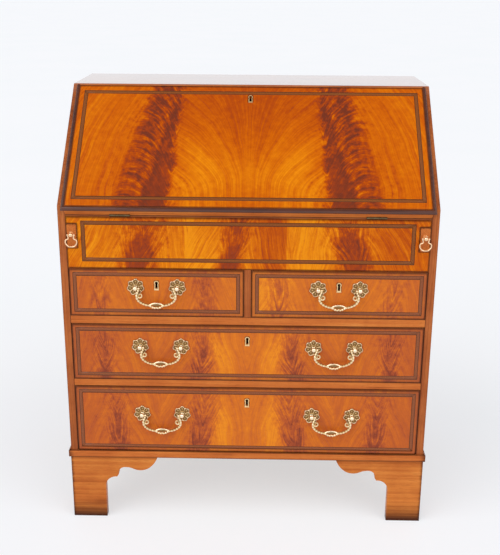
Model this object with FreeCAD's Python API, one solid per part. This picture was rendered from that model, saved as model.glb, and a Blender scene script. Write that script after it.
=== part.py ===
"""A slant-front writing bureau on bracket feet: a fall on two lopers, four drawers and a fitted desk.

Lengths are millimetres. X runs across, with zero midway between the sides, and Z is up from the floor.
Y runs from front to back, with zero midway between the foremost handle and the back. Pieces are placed
by their depth behind the front plane of the drawers, and pieces of the fall by their place on its slope.
"""
import FreeCAD, Part
import math
import os

Vector = FreeCAD.Vector

# Carcase boards
CARCASE_WIDTH = 840.0
CARCASE_DEPTH = 485.0
SIDE_THICKNESS = 17.0
TOP_THICKNESS = 17.0
TOP_ROUND = 1.5
BACK_THICKNESS = 10.0
BACK_BOARD_COUNT = 5
BACK_BOARD_GAP = 0.5
BOTTOM_THICKNESS = 16.0
BED_THICKNESS = 14.0
DUST_BOARD_THICKNESS = 12.0
FRIEZE_THICKNESS = 20.0
RAIL_DEPTH = 60.0
RUNNER_WIDTH = 45.0
DIVIDER_THICKNESS = 15.0
HOUSING_DEPTH = 6.0
HOUSING_SETBACK = 15.0

# Heights of the openings and boards, from the floor up
FOOT_HEIGHT = 164.0
LOWER_OPENING = 168.5
LOWER_RAIL = 17.5
UPPER_OPENING = 137.5
UPPER_RAIL = 19.5
SHORT_OPENING = 113.0
FRIEZE_HEIGHT = 109.0
DESK_HEIGHT = 240.0

# Drawer stops, glued behind the drawer fronts
STOP_WIDTH = 40.0
STOP_DEPTH = 25.0
STOP_HEIGHT = 6.0
STOP_FROM_SIDE = 110.0
STOP_GAP = 0.2

# Base moulding
MOULDING_PROJECTION = 5.0
MOULDING_COVE = 9.0
MOULDING_FILLET = 0.8
MOULDING_ROUND = 1.8

# Bracket feet
FOOT_THICKNESS = 18.0
FOOT_PROUD = 1.0
FOOT_WIDTH = 81.0
FRONT_BRACKET = 208.0
SIDE_BRACKET = 175.0
REAR_BRACKET = 150.0
REAR_BRACKET_RISE = 80.0
GLUE_BLOCK = 35.0
GLUE_BLOCK_LIFT = 14.0
# The bracket's lower edge from the leg to the moulding: each bend's share of the bracket's run and its
# distance below the moulding, first a point passed on the way and then its end
BRACKET_LEG_DROP = 76.0
BRACKET_COVE = ((0.063, 61.5), (0.22, 55.0))
BRACKET_STEP = (0.252, 48.0)
BRACKET_BENDS = (
    ((0.283, 34.0), (0.386, 29.0)),
    ((0.472, 30.2), (0.543, 33.5)),
    ((0.685, 36.8), (0.819, 31.5)),
    ((0.929, 18.0), (1.0, 0.0)),
)

# Fall front
FALL_SLOPE = 43.25
FALL_THICKNESS = 21.0
LIP_THICKNESS = 7.0
LIP_TOP_OVERLAP = 17.0
LIP_TOP_ROUND = 2.0
FALL_CLEARANCE = 0.3
FALL_TOP_GAP = 1.0
FALL_STOP_GAP = 0.8
FALL_STOP_DEPTH = 30.0
HINGE_GAP = 0.5
BEAD_WIDTH = 8.0
BEAD_ROUND = 4.5
BEAD_QUIRK = 1.2
LEATHER_THICKNESS = 1.0
LEATHER_SIDE_MARGIN = 60.0
LEATHER_LOW_MARGIN = 40.0
LEATHER_LOCK_MARGIN = 20.0

# Hinges of the fall
HINGE_LENGTH = 45.0
HINGE_CENTRE = 282.0
HINGE_LEAF_WIDTH = 22.0
HINGE_LEAF_THICKNESS = 1.6
HINGE_BARREL = 3.0
HINGE_PIN = 1.3
HINGE_CLEARANCE = 0.05
HINGE_ROOM = 0.4
KNUCKLE_GAP = 0.2

# Lopers
LOPER_WIDTH = 23.0
LOPER_HEIGHT = 54.0
LOPER_REAR_SPACE = 44.0
LOPER_SETBACK = 1.0
LOPER_SIDE_GAP = 0.5
LOPER_TOP_GAP = 0.8
LOPER_FLOOR_GAP = 0.3
LOPER_GUIDE_THICKNESS = 12.0
STUD_RISE = 4.0
STUD_REACH = 9.5
STUD_BALL = 5.0
STUD_NECK = 3.0
STUD_FLANGE = 6.0
STUD_FLANGE_THICKNESS = 1.6
STUD_SHANK = 2.2
STUD_SHANK_LENGTH = 22.0
RING_ROD = 1.6
RING_EYE = 2.0
RING_PINTLE = 0.9
RING_PINTLE_DEPTH = 2.6
RING_NECK = (5.2, -8.5)
RING_SHOULDER = (12.6, -12.0)
RING_FLANK = (12.6, -19.5)
RING_BASE = (6.4, -27.0)
RING_BENDS = (3.0, 4.0, 8.0, 8.0)

# Drawers
DRAWER_SIDE_GAP = 1.2
DRAWER_TOP_GAP = 1.4
DRAWER_RUN_GAP = 0.3
DRAWER_REAR_SPACE = 10.0
FRONT_THICKNESS = 20.0
DRAWER_SIDE = 10.0
DRAWER_BOTTOM = 6.0
DRAWER_BOTTOM_RISE = 9.0
DRAWER_GROOVE = 4.0
DRAWER_SIDE_DROP = 8.0
TAIL_LENGTH = 14.0
TAIL_COUNT = 3
TAIL_TIP_SHARE = 0.72
TAIL_ROOT_SHARE = 0.55

# Small drawers and pigeonholes inside the desk
FITMENT_SETBACK = 20.0
PIGEONHOLE_COUNT = 6
PARTITION_THICKNESS = 7.0
SHELF_THICKNESS = 8.0
SMALL_OPENING = 62.0
SMALL_DIVIDER = 10.0
SMALL_GAP = 0.8
SMALL_SETBACK = 2.0
SMALL_FRONT = 11.0
SMALL_SIDE = 6.0
SMALL_BOTTOM = 4.0
SMALL_BOTTOM_RISE = 4.0
SMALL_GROOVE = 2.5
SMALL_SIDE_DROP = 5.0
SMALL_TAIL_LENGTH = 7.0
SMALL_REAR_SPACE = 6.0
KNOB_RADIUS = 7.0
KNOB_REACH = 15.0
KNOB_NECK = 3.2
KNOB_DOWEL = 2.5
KNOB_DOWEL_DEPTH = 8.0

# Locks
LOCK_WIDTH = 60.0
LOCK_HEIGHT = 52.0
LOCK_THICKNESS = 11.0
KEYHOLE_DROP = 32.0
FALL_KEYHOLE_DROP = 18.0
BOLT_WIDTH = 22.0
BOLT_THICKNESS = 4.0
BOLT_FROM_BACK = 1.5
BOLT_LENGTH = 30.0
BOLT_THROW = 7.0
FALL_BOLT_THROW = 10.0
BOLT_CLEARANCE = 0.2
MORTISE_ROOM = 1.0
KEY_EYE = 3.4
KEY_WAIST = 2.2
KEY_FOOT = 3.0
KEY_DROP = 13.0
ESCUTCHEON_EYE = 5.4
ESCUTCHEON_WAIST = 4.0
ESCUTCHEON_FOOT = 5.2
ESCUTCHEON_DROP = 17.0
ESCUTCHEON_PROUD = 0.8
FALL_ESCUTCHEON_SCALE = 0.95

# Handles of the drawers
HANDLE_CENTRES = 94.0
LONG_HANDLE_OFFSET = 199.0
SHORT_HANDLE_DROP = 43.0
UPPER_HANDLE_DROP = 53.5
LOWER_HANDLE_DROP = 69.5
ROSETTE_LOBES = 7
ROSETTE_RADIUS = 20.0
ROSETTE_VALLEY = 17.2
ROSETTE_THICKNESS = 2.2
ROSETTE_TIER_RADIUS = 12.5
ROSETTE_TIER_VALLEY = 10.0
ROSETTE_TIER_THICKNESS = 1.8
POST_REACH = 12.0
POST_BALL = 5.5
POST_NECK = 3.4
POST_SHANK = 2.5
SHANK_CLEARANCE = 0.2
NUT_RADIUS = 5.5
NUT_SIDES = 6
NUT_THICKNESS = 4.0
SHANK_END = 1.5
BAIL_ROD = 2.4
BAIL_PINTLE = 1.5
BAIL_PINTLE_DEPTH = 4.0
PINTLE_CLEARANCE = 0.08
BALL_ROOM = 0.5
BAIL_KNEE = (-1.5, -26.0)
BAIL_HIP = (-11.0, -39.5)
BAIL_BENDS = (10.0, 9.0)
SCROLL_RADIUS = 4.2
SCROLL_ROD = 1.7
SCROLL_DROP = 16.0
GRIP_HALF = 17.0
GRIP_ARCH = 5.5
GRIP_LEAF = 7.5
GRIP_RIM = 3.0
GRIP_THICKNESS = 4.0

# Levels and places that follow from the sizes
LOWER_FLOOR = FOOT_HEIGHT + BOTTOM_THICKNESS
LOWER_CEILING = LOWER_FLOOR + LOWER_OPENING
UPPER_FLOOR = LOWER_CEILING + LOWER_RAIL
UPPER_CEILING = UPPER_FLOOR + UPPER_OPENING
SHORT_FLOOR = UPPER_CEILING + UPPER_RAIL
SHORT_CEILING = SHORT_FLOOR + SHORT_OPENING
BED_UNDERSIDE = SHORT_CEILING + FRIEZE_HEIGHT
BED_TOP = BED_UNDERSIDE + BED_THICKNESS
DESK_CEILING = BED_TOP + DESK_HEIGHT
TOP = DESK_CEILING + TOP_THICKNESS
OUTSIDE = CARCASE_WIDTH / 2
INSIDE = OUTSIDE - SIDE_THICKNESS
BACK_INNER = CARCASE_DEPTH - BACK_THICKNESS
HANDLE_REACH = POST_REACH + POST_BALL
FRONT = (HANDLE_REACH - CARCASE_DEPTH) / 2
SHORT_CENTRE = (DIVIDER_THICKNESS / 2 + INSIDE) / 2
STUD_X = INSIDE - LOPER_SIDE_GAP - LOPER_WIDTH / 2
LOPER_TOP = BED_TOP - FALL_THICKNESS - FALL_CLEARANCE
LOPER_BOTTOM = LOPER_TOP - LOPER_HEIGHT
STUD_Z = (LOPER_TOP + LOPER_BOTTOM) / 2 + STUD_RISE

# The fall's slope: along runs up the fall from its hinge line, out runs square to its inner face
SLOPE = math.radians(FALL_SLOPE)
SEAT = FALL_THICKNESS - LIP_THICKNESS
SLOPE_FOOT = BED_TOP + SEAT / math.cos(SLOPE)
FALL_BODY_TOP = (DESK_HEIGHT - SEAT * math.cos(SLOPE)) / math.sin(SLOPE) - FALL_TOP_GAP
FALL_LIP_TOP = FALL_BODY_TOP + LIP_TOP_OVERLAP
FALL_KEYHOLE = FALL_BODY_TOP - FALL_KEYHOLE_DROP
FITMENT_FRONT = DESK_HEIGHT / math.tan(SLOPE) + FITMENT_SETBACK
FALL_PLACE = FreeCAD.Placement(Vector(0, FRONT, BED_TOP), FreeCAD.Rotation(Vector(1, 0, 0), FALL_SLOPE))


def box(x, depth, z):
    """A board from the (low, high) pairs of its place across, behind the front plane and above the floor."""
    corner = Vector(x[0], FRONT + depth[0], z[0])
    return Part.makeBox(x[1] - x[0], depth[1] - depth[0], z[1] - z[0], corner)


def fall_box(x, along, out):
    """A board on the fall, from its (low, high) places across, up the slope and out from the inner face."""
    shape = Part.makeBox(x[1] - x[0], along[1] - along[0], out[1] - out[0], Vector(x[0], along[0], out[0]))
    return on_fall(shape)


def on_fall(shape):
    """Turns a shape drawn flat, with Y up the fall and Z out of it, into the closed fall's place."""
    placed = shape.copy()
    placed.Placement = FALL_PLACE.multiply(placed.Placement)
    return placed


def cylinder_x(radius, x, depth, z):
    return Part.makeCylinder(radius, x[1] - x[0], Vector(x[0], FRONT + depth, z), Vector(1, 0, 0))


def cylinder_y(radius, x, depth, z):
    return Part.makeCylinder(radius, depth[1] - depth[0], Vector(x, FRONT + depth[0], z), Vector(0, 1, 0))


def ball(radius, x, depth, z):
    return Part.makeSphere(radius, Vector(x, FRONT + depth, z))


def polygon(points):
    return Part.Face(Part.makePolygon(points + points[:1]))


def across(points, x):
    """A prism along X from an outline of (depth, height) points."""
    face = polygon([Vector(x[0], FRONT + depth, z) for depth, z in points])
    return face.extrude(Vector(x[1] - x[0], 0, 0))


def upright(points, z):
    """A prism along Z from a plan of (across, depth) points."""
    face = polygon([Vector(x, FRONT + depth, z[0]) for x, depth in points])
    return face.extrude(Vector(0, 0, z[1] - z[0]))


def joined(shapes):
    return shapes[0].fuse(shapes[1:]).removeSplitter()


def mirrored(shape):
    return shape.mirror(Vector(0, 0, 0), Vector(1, 0, 0))


def both_sides(shape):
    return [mirrored(shape), shape]


def slope_depth(z):
    """How far behind the front plane the sloping edge of a side is at a height."""
    return (z - SLOPE_FOOT) / math.tan(SLOPE)


def rounded_edges(shape, radius, chosen):
    """Rounds the edges whose every corner passes a test."""
    edges = [edge for edge in shape.Edges if all(chosen(vertex.Point) for vertex in edge.Vertexes)]
    return shape.makeFillet(radius, edges)


def rod(points, bends, radius):
    """A round rod along straight runs joined by tangent arcs, with one bend radius for each inner point."""
    edges = []
    start = points[0]
    for before, corner, after, bend in zip(points, points[1:], points[2:], bends):
        into = (corner - before).normalize()
        onward = (after - corner).normalize()
        turn = into.getAngle(onward)
        reach = bend * math.tan(turn / 2)
        arc_start = corner - into * reach
        arc_end = corner + onward * reach
        inward = (onward - into).normalize()
        arc_middle = corner + inward * (bend / math.cos(turn / 2) - bend)
        edges.append(Part.LineSegment(start, arc_start).toShape())
        edges.append(Part.Arc(arc_start, arc_middle, arc_end).toShape())
        start = arc_end
    edges.append(Part.LineSegment(start, points[-1]).toShape())
    section = Part.Wire(Part.makeCircle(radius, points[0], points[1] - points[0]))
    return Part.Wire(edges).makePipeShell([section], True, False)


# Carcase


def housed_board(depth, z):
    """A board from side to side, with a tongue at each end that is let into a stopped housing."""
    tongue = box((INSIDE, INSIDE + HOUSING_DEPTH), (depth[0] + HOUSING_SETBACK, depth[1]), z)
    return joined([box((-INSIDE, INSIDE), depth, z)] + both_sides(tongue))


def bolt_mortise(x, ceiling):
    """The mortise above a drawer's lock, with room round the shot bolt."""
    half_width = BOLT_WIDTH / 2 + MORTISE_ROOM
    rear = FRONT_THICKNESS - BOLT_FROM_BACK
    return box((x - half_width, x + half_width), (rear - BOLT_THICKNESS - MORTISE_ROOM, rear + MORTISE_ROOM),
               (ceiling, ceiling + BOLT_THROW + MORTISE_ROOM))


def hinge_room(x):
    """The hollow for a hinge barrel, along the corner of the writing bed and the fall."""
    half = HINGE_LENGTH / 2 + KNUCKLE_GAP
    return cylinder_x(HINGE_BARREL + HINGE_ROOM, (x - half, x + half), 0, BED_TOP)


def bed_leaf_recess(x):
    half = HINGE_LENGTH / 2
    return box((x - half, x + half), (0, HINGE_LEAF_WIDTH), (BED_TOP - HINGE_LEAF_THICKNESS, BED_TOP))


def make_writing_bed():
    bed = housed_board((0, BACK_INNER), (BED_UNDERSIDE, BED_TOP))
    for x in (-HINGE_CENTRE, HINGE_CENTRE):
        bed = bed.cut([hinge_room(x), bed_leaf_recess(x)])
    return bed


def make_rails():
    upper = housed_board((0, RAIL_DEPTH), (UPPER_CEILING, SHORT_FLOOR)).cut(bolt_mortise(0, UPPER_CEILING))
    lower = housed_board((0, RAIL_DEPTH), (LOWER_CEILING, UPPER_FLOOR)).cut(bolt_mortise(0, LOWER_CEILING))
    return [upper, lower]


def make_bottom_board():
    return housed_board((0, BACK_INNER), (FOOT_HEIGHT, LOWER_FLOOR))


def make_dust_board():
    return housed_board((FRIEZE_THICKNESS, BACK_INNER), (SHORT_CEILING, SHORT_CEILING + DUST_BOARD_THICKNESS))


def make_side(boards):
    """The right side: upright, with a sloping front edge above the writing height, housed for the boards."""
    outline = [(0, FOOT_HEIGHT), (CARCASE_DEPTH, FOOT_HEIGHT), (CARCASE_DEPTH, DESK_CEILING),
               (slope_depth(DESK_CEILING), DESK_CEILING), (0, SLOPE_FOOT)]
    return across(outline, (INSIDE, OUTSIDE)).cut(boards)


def make_top_board():
    """The top, planed in front to the slope of the sides, and the strip glued under it that the fall shuts on.

    Both are mortised for the fall's bolt.
    """
    front = slope_depth(DESK_CEILING)
    board = across([(front, DESK_CEILING), (CARCASE_DEPTH, DESK_CEILING), (CARCASE_DEPTH, TOP),
                    (slope_depth(TOP), TOP)], (-OUTSIDE, OUTSIDE))
    board = rounded_edges(board, TOP_ROUND, lambda p: abs(p.z - TOP) < 0.01)
    stop_along = FALL_BODY_TOP + FALL_STOP_GAP
    low = (stop_along * math.cos(SLOPE), BED_TOP + stop_along * math.sin(SLOPE))
    high = (low[0] - (DESK_CEILING - low[1]) * math.tan(SLOPE), DESK_CEILING)
    rear = front + FALL_STOP_DEPTH
    strip = across([high, low, (rear, low[1]), (rear, DESK_CEILING)], (-INSIDE, INSIDE))
    half_width = BOLT_WIDTH / 2 + MORTISE_ROOM
    mortise = fall_box((-half_width, half_width), (FALL_BODY_TOP, FALL_BODY_TOP + FALL_BOLT_THROW + MORTISE_ROOM),
                       (BOLT_FROM_BACK - MORTISE_ROOM, BOLT_FROM_BACK + BOLT_THICKNESS + MORTISE_ROOM))
    return [board.cut(mortise), strip.cut(mortise)]


def make_back_boards():
    pitch = 2 * INSIDE / BACK_BOARD_COUNT
    boards = []
    for index in range(BACK_BOARD_COUNT):
        left = -INSIDE + index * pitch
        boards.append(box((left + BACK_BOARD_GAP / 2, left + pitch - BACK_BOARD_GAP / 2),
                          (BACK_INNER, CARCASE_DEPTH), (FOOT_HEIGHT, DESK_CEILING)))
    return boards


def make_frieze():
    """The fixed front above the short drawers, notched at each end for a loper."""
    notch = box((INSIDE - LOPER_WIDTH - 2 * LOPER_SIDE_GAP, INSIDE), (0, FRIEZE_THICKNESS),
                (LOPER_BOTTOM - LOPER_FLOOR_GAP, LOPER_TOP + LOPER_TOP_GAP))
    mortises = [bolt_mortise(x, SHORT_CEILING) for x in (-SHORT_CENTRE, SHORT_CENTRE)]
    board = box((-INSIDE, INSIDE), (0, FRIEZE_THICKNESS), (SHORT_CEILING, BED_UNDERSIDE))
    return board.cut(both_sides(notch) + mortises)


def make_divider():
    half = DIVIDER_THICKNESS / 2
    return box((-half, half), (0, BACK_INNER), (SHORT_FLOOR, SHORT_CEILING))


def make_runners():
    """The strips that the drawers' sides slide on, behind the rails, and one under the divider."""
    upper = box((INSIDE - RUNNER_WIDTH, INSIDE), (RAIL_DEPTH, BACK_INNER), (UPPER_CEILING, SHORT_FLOOR))
    lower = box((INSIDE - RUNNER_WIDTH, INSIDE), (RAIL_DEPTH, BACK_INNER), (LOWER_CEILING, UPPER_FLOOR))
    middle = box((-RUNNER_WIDTH, RUNNER_WIDTH), (RAIL_DEPTH, BACK_INNER), (UPPER_CEILING, SHORT_FLOOR))
    return both_sides(upper) + both_sides(lower) + [middle]


def make_stops():
    """Two blocks for each drawer, which its front meets when it is shut."""
    depth = (FRONT_THICKNESS + STOP_GAP, FRONT_THICKNESS + STOP_GAP + STOP_DEPTH)
    stops = []
    for floor in (LOWER_FLOOR, UPPER_FLOOR, SHORT_FLOOR):
        right = INSIDE - STOP_FROM_SIDE
        stops += both_sides(box((right - STOP_WIDTH, right), depth, (floor, floor + STOP_HEIGHT)))
    left = DIVIDER_THICKNESS / 2 + STOP_FROM_SIDE
    stops += both_sides(box((left, left + STOP_WIDTH), depth, (SHORT_FLOOR, SHORT_FLOOR + STOP_HEIGHT)))
    return stops


def make_loper_guides():
    """Each loper's partition, the strip that it slides on and the strip that keeps its tail down."""
    slot = (INSIDE - LOPER_WIDTH - 2 * LOPER_SIDE_GAP, INSIDE)
    depth = (FRIEZE_THICKNESS, BACK_INNER)
    dust_top = SHORT_CEILING + DUST_BOARD_THICKNESS
    partition = box((slot[0] - LOPER_GUIDE_THICKNESS, slot[0]), depth, (dust_top, BED_UNDERSIDE))
    floor = box(slot, depth, (dust_top, LOPER_BOTTOM - LOPER_FLOOR_GAP))
    kicker = box(slot, depth, (LOPER_TOP + LOPER_TOP_GAP, BED_UNDERSIDE))
    return both_sides(partition) + both_sides(floor) + both_sides(kicker)


def make_base_moulding():
    """A flat band with a hollow above it on the sides, mitred at the front corners."""
    reach = OUTSIDE + MOULDING_PROJECTION
    front = upright([(-reach, -MOULDING_PROJECTION), (reach, -MOULDING_PROJECTION), (OUTSIDE, 0), (-OUTSIDE, 0)],
                    (FOOT_HEIGHT, LOWER_FLOOR))
    front_face = FRONT - MOULDING_PROJECTION
    front = rounded_edges(front, MOULDING_ROUND, lambda p: abs(p.y - front_face) < 0.01 and abs(p.z - LOWER_FLOOR) < 0.01)
    start = FRONT - MOULDING_PROJECTION
    cove_top = LOWER_FLOOR + MOULDING_COVE
    fillet = OUTSIDE + MOULDING_FILLET
    bow = (reach - fillet) * (1 - math.sqrt(0.5))
    corners = [Vector(fillet, start, cove_top), Vector(OUTSIDE, start, cove_top), Vector(OUTSIDE, start, FOOT_HEIGHT),
               Vector(reach, start, FOOT_HEIGHT), Vector(reach, start, LOWER_FLOOR)]
    cove_middle = Vector(fillet + bow, start, LOWER_FLOOR + MOULDING_COVE * (1 - math.sqrt(0.5)))
    edges = [Part.LineSegment(a, b).toShape() for a, b in zip(corners, corners[1:])]
    edges.append(Part.Arc(corners[-1], cove_middle, corners[0]).toShape())
    side = Part.Face(Part.Wire(edges)).extrude(Vector(0, CARCASE_DEPTH + MOULDING_PROJECTION, 0))
    mitre = upright([(OUTSIDE, 0), (OUTSIDE, -MOULDING_PROJECTION), (reach, -MOULDING_PROJECTION)],
                    (FOOT_HEIGHT, cove_top))
    return [front] + both_sides(side.cut(mitre))


# Feet


def bracket_face(place, length):
    """A bracket's outline: the leg, a hollow and a step, then the double curve up to the moulding.

    place turns a distance in from the outer corner and a height into a point.
    """
    run = length - FOOT_WIDTH

    def bend_point(share, drop):
        return place(FOOT_WIDTH + share * run, FOOT_HEIGHT - drop)

    leg_top = bend_point(0, BRACKET_LEG_DROP)
    cove_end = bend_point(*BRACKET_COVE[1])
    step = bend_point(*BRACKET_STEP)
    edges = [Part.LineSegment(place(0, 0), place(FOOT_WIDTH, 0)).toShape(),
             Part.LineSegment(place(FOOT_WIDTH, 0), leg_top).toShape(),
             Part.Arc(leg_top, bend_point(*BRACKET_COVE[0]), cove_end).toShape(),
             Part.LineSegment(cove_end, step).toShape()]
    start = step
    for middle, end in BRACKET_BENDS:
        edges.append(Part.Arc(start, bend_point(*middle), bend_point(*end)).toShape())
        start = bend_point(*end)
    edges.append(Part.LineSegment(start, place(0, FOOT_HEIGHT)).toShape())
    edges.append(Part.LineSegment(place(0, FOOT_HEIGHT), place(0, 0)).toShape())
    return Part.Face(Part.Wire(edges))


def make_front_foot():
    """The right front foot: a front and a side bracket, mitred at the corner."""
    outer = OUTSIDE + FOOT_PROUD
    inner = outer - FOOT_THICKNESS
    near = -FOOT_PROUD
    far = near + FOOT_THICKNESS
    height = (0, FOOT_HEIGHT)
    front = bracket_face(lambda run, z: Vector(outer - run, FRONT + near, z), FRONT_BRACKET)
    front = front.extrude(Vector(0, FOOT_THICKNESS, 0))
    front = front.cut(upright([(outer, near), (outer, far), (inner, far)], height))
    side = bracket_face(lambda run, z: Vector(inner, FRONT + near + run, z), SIDE_BRACKET)
    side = side.extrude(Vector(FOOT_THICKNESS, 0, 0))
    side = side.cut(upright([(outer, near), (inner, near), (inner, far)], height))
    return [front, side]


def make_rear_foot():
    """The right rear foot: a shaped side bracket, and a plain board behind, cut back to the leg."""
    outer = OUTSIDE + FOOT_PROUD
    inner = outer - FOOT_THICKNESS
    side = bracket_face(lambda run, z: Vector(inner, FRONT + CARCASE_DEPTH - run, z), SIDE_BRACKET)
    side = side.extrude(Vector(FOOT_THICKNESS, 0, 0))
    rear_face = FRONT + CARCASE_DEPTH - FOOT_THICKNESS
    outline = [(inner, 0), (inner, FOOT_HEIGHT), (outer - REAR_BRACKET, FOOT_HEIGHT),
               (outer - FOOT_WIDTH, REAR_BRACKET_RISE), (outer - FOOT_WIDTH, 0)]
    rear = polygon([Vector(x, rear_face, z) for x, z in outline]).extrude(Vector(0, FOOT_THICKNESS, 0))
    return [side, rear]


def make_glue_blocks():
    """A square block in the corner of each foot."""
    inner = OUTSIDE + FOOT_PROUD - FOOT_THICKNESS
    across_block = (inner - GLUE_BLOCK, inner)
    height = (GLUE_BLOCK_LIFT, FOOT_HEIGHT)
    near = FOOT_THICKNESS - FOOT_PROUD
    far = CARCASE_DEPTH - FOOT_THICKNESS
    front = box(across_block, (near, near + GLUE_BLOCK), height)
    rear = box(across_block, (far - GLUE_BLOCK, far), height)
    return both_sides(front) + both_sides(rear)


# Locks


def key_shape(place, eye, slot, foot, drop, direction, thickness):
    """A keyhole's outline made solid: a round eye and a skirt that widens below it.

    place turns a distance across and a height above the eye's centre into a point.
    """
    eye_solid = Part.makeCylinder(eye, thickness, place(0, 0), direction)
    corners = [place(-slot, 0), place(slot, 0), place(foot, -drop), place(-foot, -drop)]
    return joined([eye_solid, polygon(corners).extrude(direction * thickness)])


def keyhole(place, direction, thickness):
    return key_shape(place, KEY_EYE, KEY_WAIST, KEY_FOOT, KEY_DROP, direction, thickness)


def escutcheon(place, direction, thickness, scale):
    return key_shape(place, ESCUTCHEON_EYE * scale, ESCUTCHEON_WAIST * scale, ESCUTCHEON_FOOT * scale,
                     ESCUTCHEON_DROP * scale, direction, thickness)


def make_drawer_lock(x, top):
    """A drawer's lock: the case let into the back of the front, its bolt, its escutcheon and the cuts they need."""
    depth = (FRONT_THICKNESS - LOCK_THICKNESS, FRONT_THICKNESS)
    pocket = box((x - LOCK_WIDTH / 2, x + LOCK_WIDTH / 2), depth, (top - LOCK_HEIGHT, top))
    half_width = BOLT_WIDTH / 2
    rear = FRONT_THICKNESS - BOLT_FROM_BACK
    bolt = box((x - half_width, x + half_width), (rear - BOLT_THICKNESS, rear), (top - BOLT_LENGTH, top))
    way_front = rear - BOLT_THICKNESS - BOLT_CLEARANCE
    bolt_way = box((x - half_width - BOLT_CLEARANCE, x + half_width + BOLT_CLEARANCE),
                   (way_front, rear + BOLT_CLEARANCE), (top - BOLT_LENGTH - BOLT_CLEARANCE, top))

    def place(offset, rise):
        return Vector(x + offset, FRONT - ESCUTCHEON_PROUD, top - KEYHOLE_DROP + rise)

    inward = Vector(0, 1, 0)
    hole = keyhole(place, inward, way_front + ESCUTCHEON_PROUD)
    plate_seat = escutcheon(place, inward, 2 * ESCUTCHEON_PROUD, 1.0)
    case = pocket.cut([bolt_way, hole])
    plate = plate_seat.cut(hole)
    return [case, plate], bolt, [pocket, hole, plate_seat]


# Drawers


def dovetails(x, z, baseline, length, forward):
    """The tails on the front end of a drawer side, wider at their tips."""
    pitch = (z[1] - z[0]) / TAIL_COUNT
    tails = []
    for index in range(TAIL_COUNT):
        middle = z[0] + (index + 0.5) * pitch
        tip = TAIL_TIP_SHARE * pitch / 2
        root = TAIL_ROOT_SHARE * pitch / 2
        tip_depth = baseline - length
        root_depth = baseline + forward
        tails.append(across([(tip_depth, middle - tip), (baseline, middle - root), (root_depth, middle - root),
                             (root_depth, middle + root), (baseline, middle + root), (tip_depth, middle + tip)], x))
    return tails


def make_drawer(x, z, depth, front, side, bottom, rise, groove, drop, tail):
    """A drawer between (low, high) limits: its front, and its box of two dovetailed sides, a back and a bottom.

    The bottom runs in grooves in the front and the sides, and out under the back.
    """
    baseline = depth[0] + front
    side_height = (z[0], z[1] - drop)
    panel = box((x[0] + side - groove, x[1] - side + groove), (baseline - groove, depth[1]),
                (z[0] + rise, z[0] + rise + bottom))
    front_board = box(x, (depth[0], baseline), z)
    sides = []
    for limits in ((x[0], x[0] + side), (x[1] - side, x[1])):
        tails = dovetails(limits, side_height, baseline, tail, side)
        front_board = front_board.cut(tails)
        board = box(limits, (baseline, depth[1]), side_height)
        sides.append(joined([board] + tails).cut(panel))
    back = box((x[0] + side, x[1] - side), (depth[1] - side, depth[1]), (z[0] + rise + bottom, z[1] - 2 * drop))
    return front_board.cut(panel), sides + [back, panel]


def lobed_face(x, depth, z, tip, valley):
    """A flower outline: one arc for each petal, from valley to valley through its tip."""
    step = 2 * math.pi / ROSETTE_LOBES

    def rim(radius, turns):
        return Vector(x + radius * math.sin(turns * step), FRONT + depth, z + radius * math.cos(turns * step))

    edges = [Part.Arc(rim(valley, petal - 0.5), rim(tip, petal), rim(valley, petal + 0.5)).toShape()
             for petal in range(ROSETTE_LOBES)]
    return Part.Face(Part.Wire(edges))


def make_handle_mounts(x, z):
    """A handle's two rosettes, with the ball-headed posts that hold them and the bail, and their nuts."""
    face = -ROSETTE_THICKNESS - ROSETTE_TIER_THICKNESS
    shank_end = FRONT_THICKNESS + NUT_THICKNESS + SHANK_END
    pieces = []
    holes = []
    for side in (-1, 1):
        post_x = x + side * HANDLE_CENTRES / 2
        plate = lobed_face(post_x, 0, z, ROSETTE_RADIUS, ROSETTE_VALLEY).extrude(Vector(0, -ROSETTE_THICKNESS, 0))
        tier = lobed_face(post_x, -ROSETTE_THICKNESS, z, ROSETTE_TIER_RADIUS, ROSETTE_TIER_VALLEY)
        tier = tier.extrude(Vector(0, -ROSETTE_TIER_THICKNESS, 0))
        hole = cylinder_y(POST_SHANK + SHANK_CLEARANCE, post_x, (face, shank_end), z)
        holes.append(hole)
        pieces.append(joined([plate, tier]).cut(hole))
        post = joined([cylinder_y(POST_NECK, post_x, (-POST_REACH, face), z), ball(POST_BALL, post_x, -POST_REACH, z),
                       cylinder_y(POST_SHANK, post_x, (face, shank_end), z)])
        mouth = post_x - side * (POST_BALL + PINTLE_CLEARANCE)
        floor = post_x - side * (POST_BALL - BAIL_PINTLE_DEPTH - BALL_ROOM)
        socket = cylinder_x(BAIL_PINTLE + PINTLE_CLEARANCE, sorted((mouth, floor)), -POST_REACH, z)
        pieces.append(post.cut(socket))
        corners = [Vector(post_x + NUT_RADIUS * math.sin(2 * math.pi * k / NUT_SIDES), FRONT + FRONT_THICKNESS,
                          z + NUT_RADIUS * math.cos(2 * math.pi * k / NUT_SIDES)) for k in range(NUT_SIDES)]
        pieces.append(polygon(corners).extrude(Vector(0, NUT_THICKNESS, 0)).cut(hole))
    return pieces, holes


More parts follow.
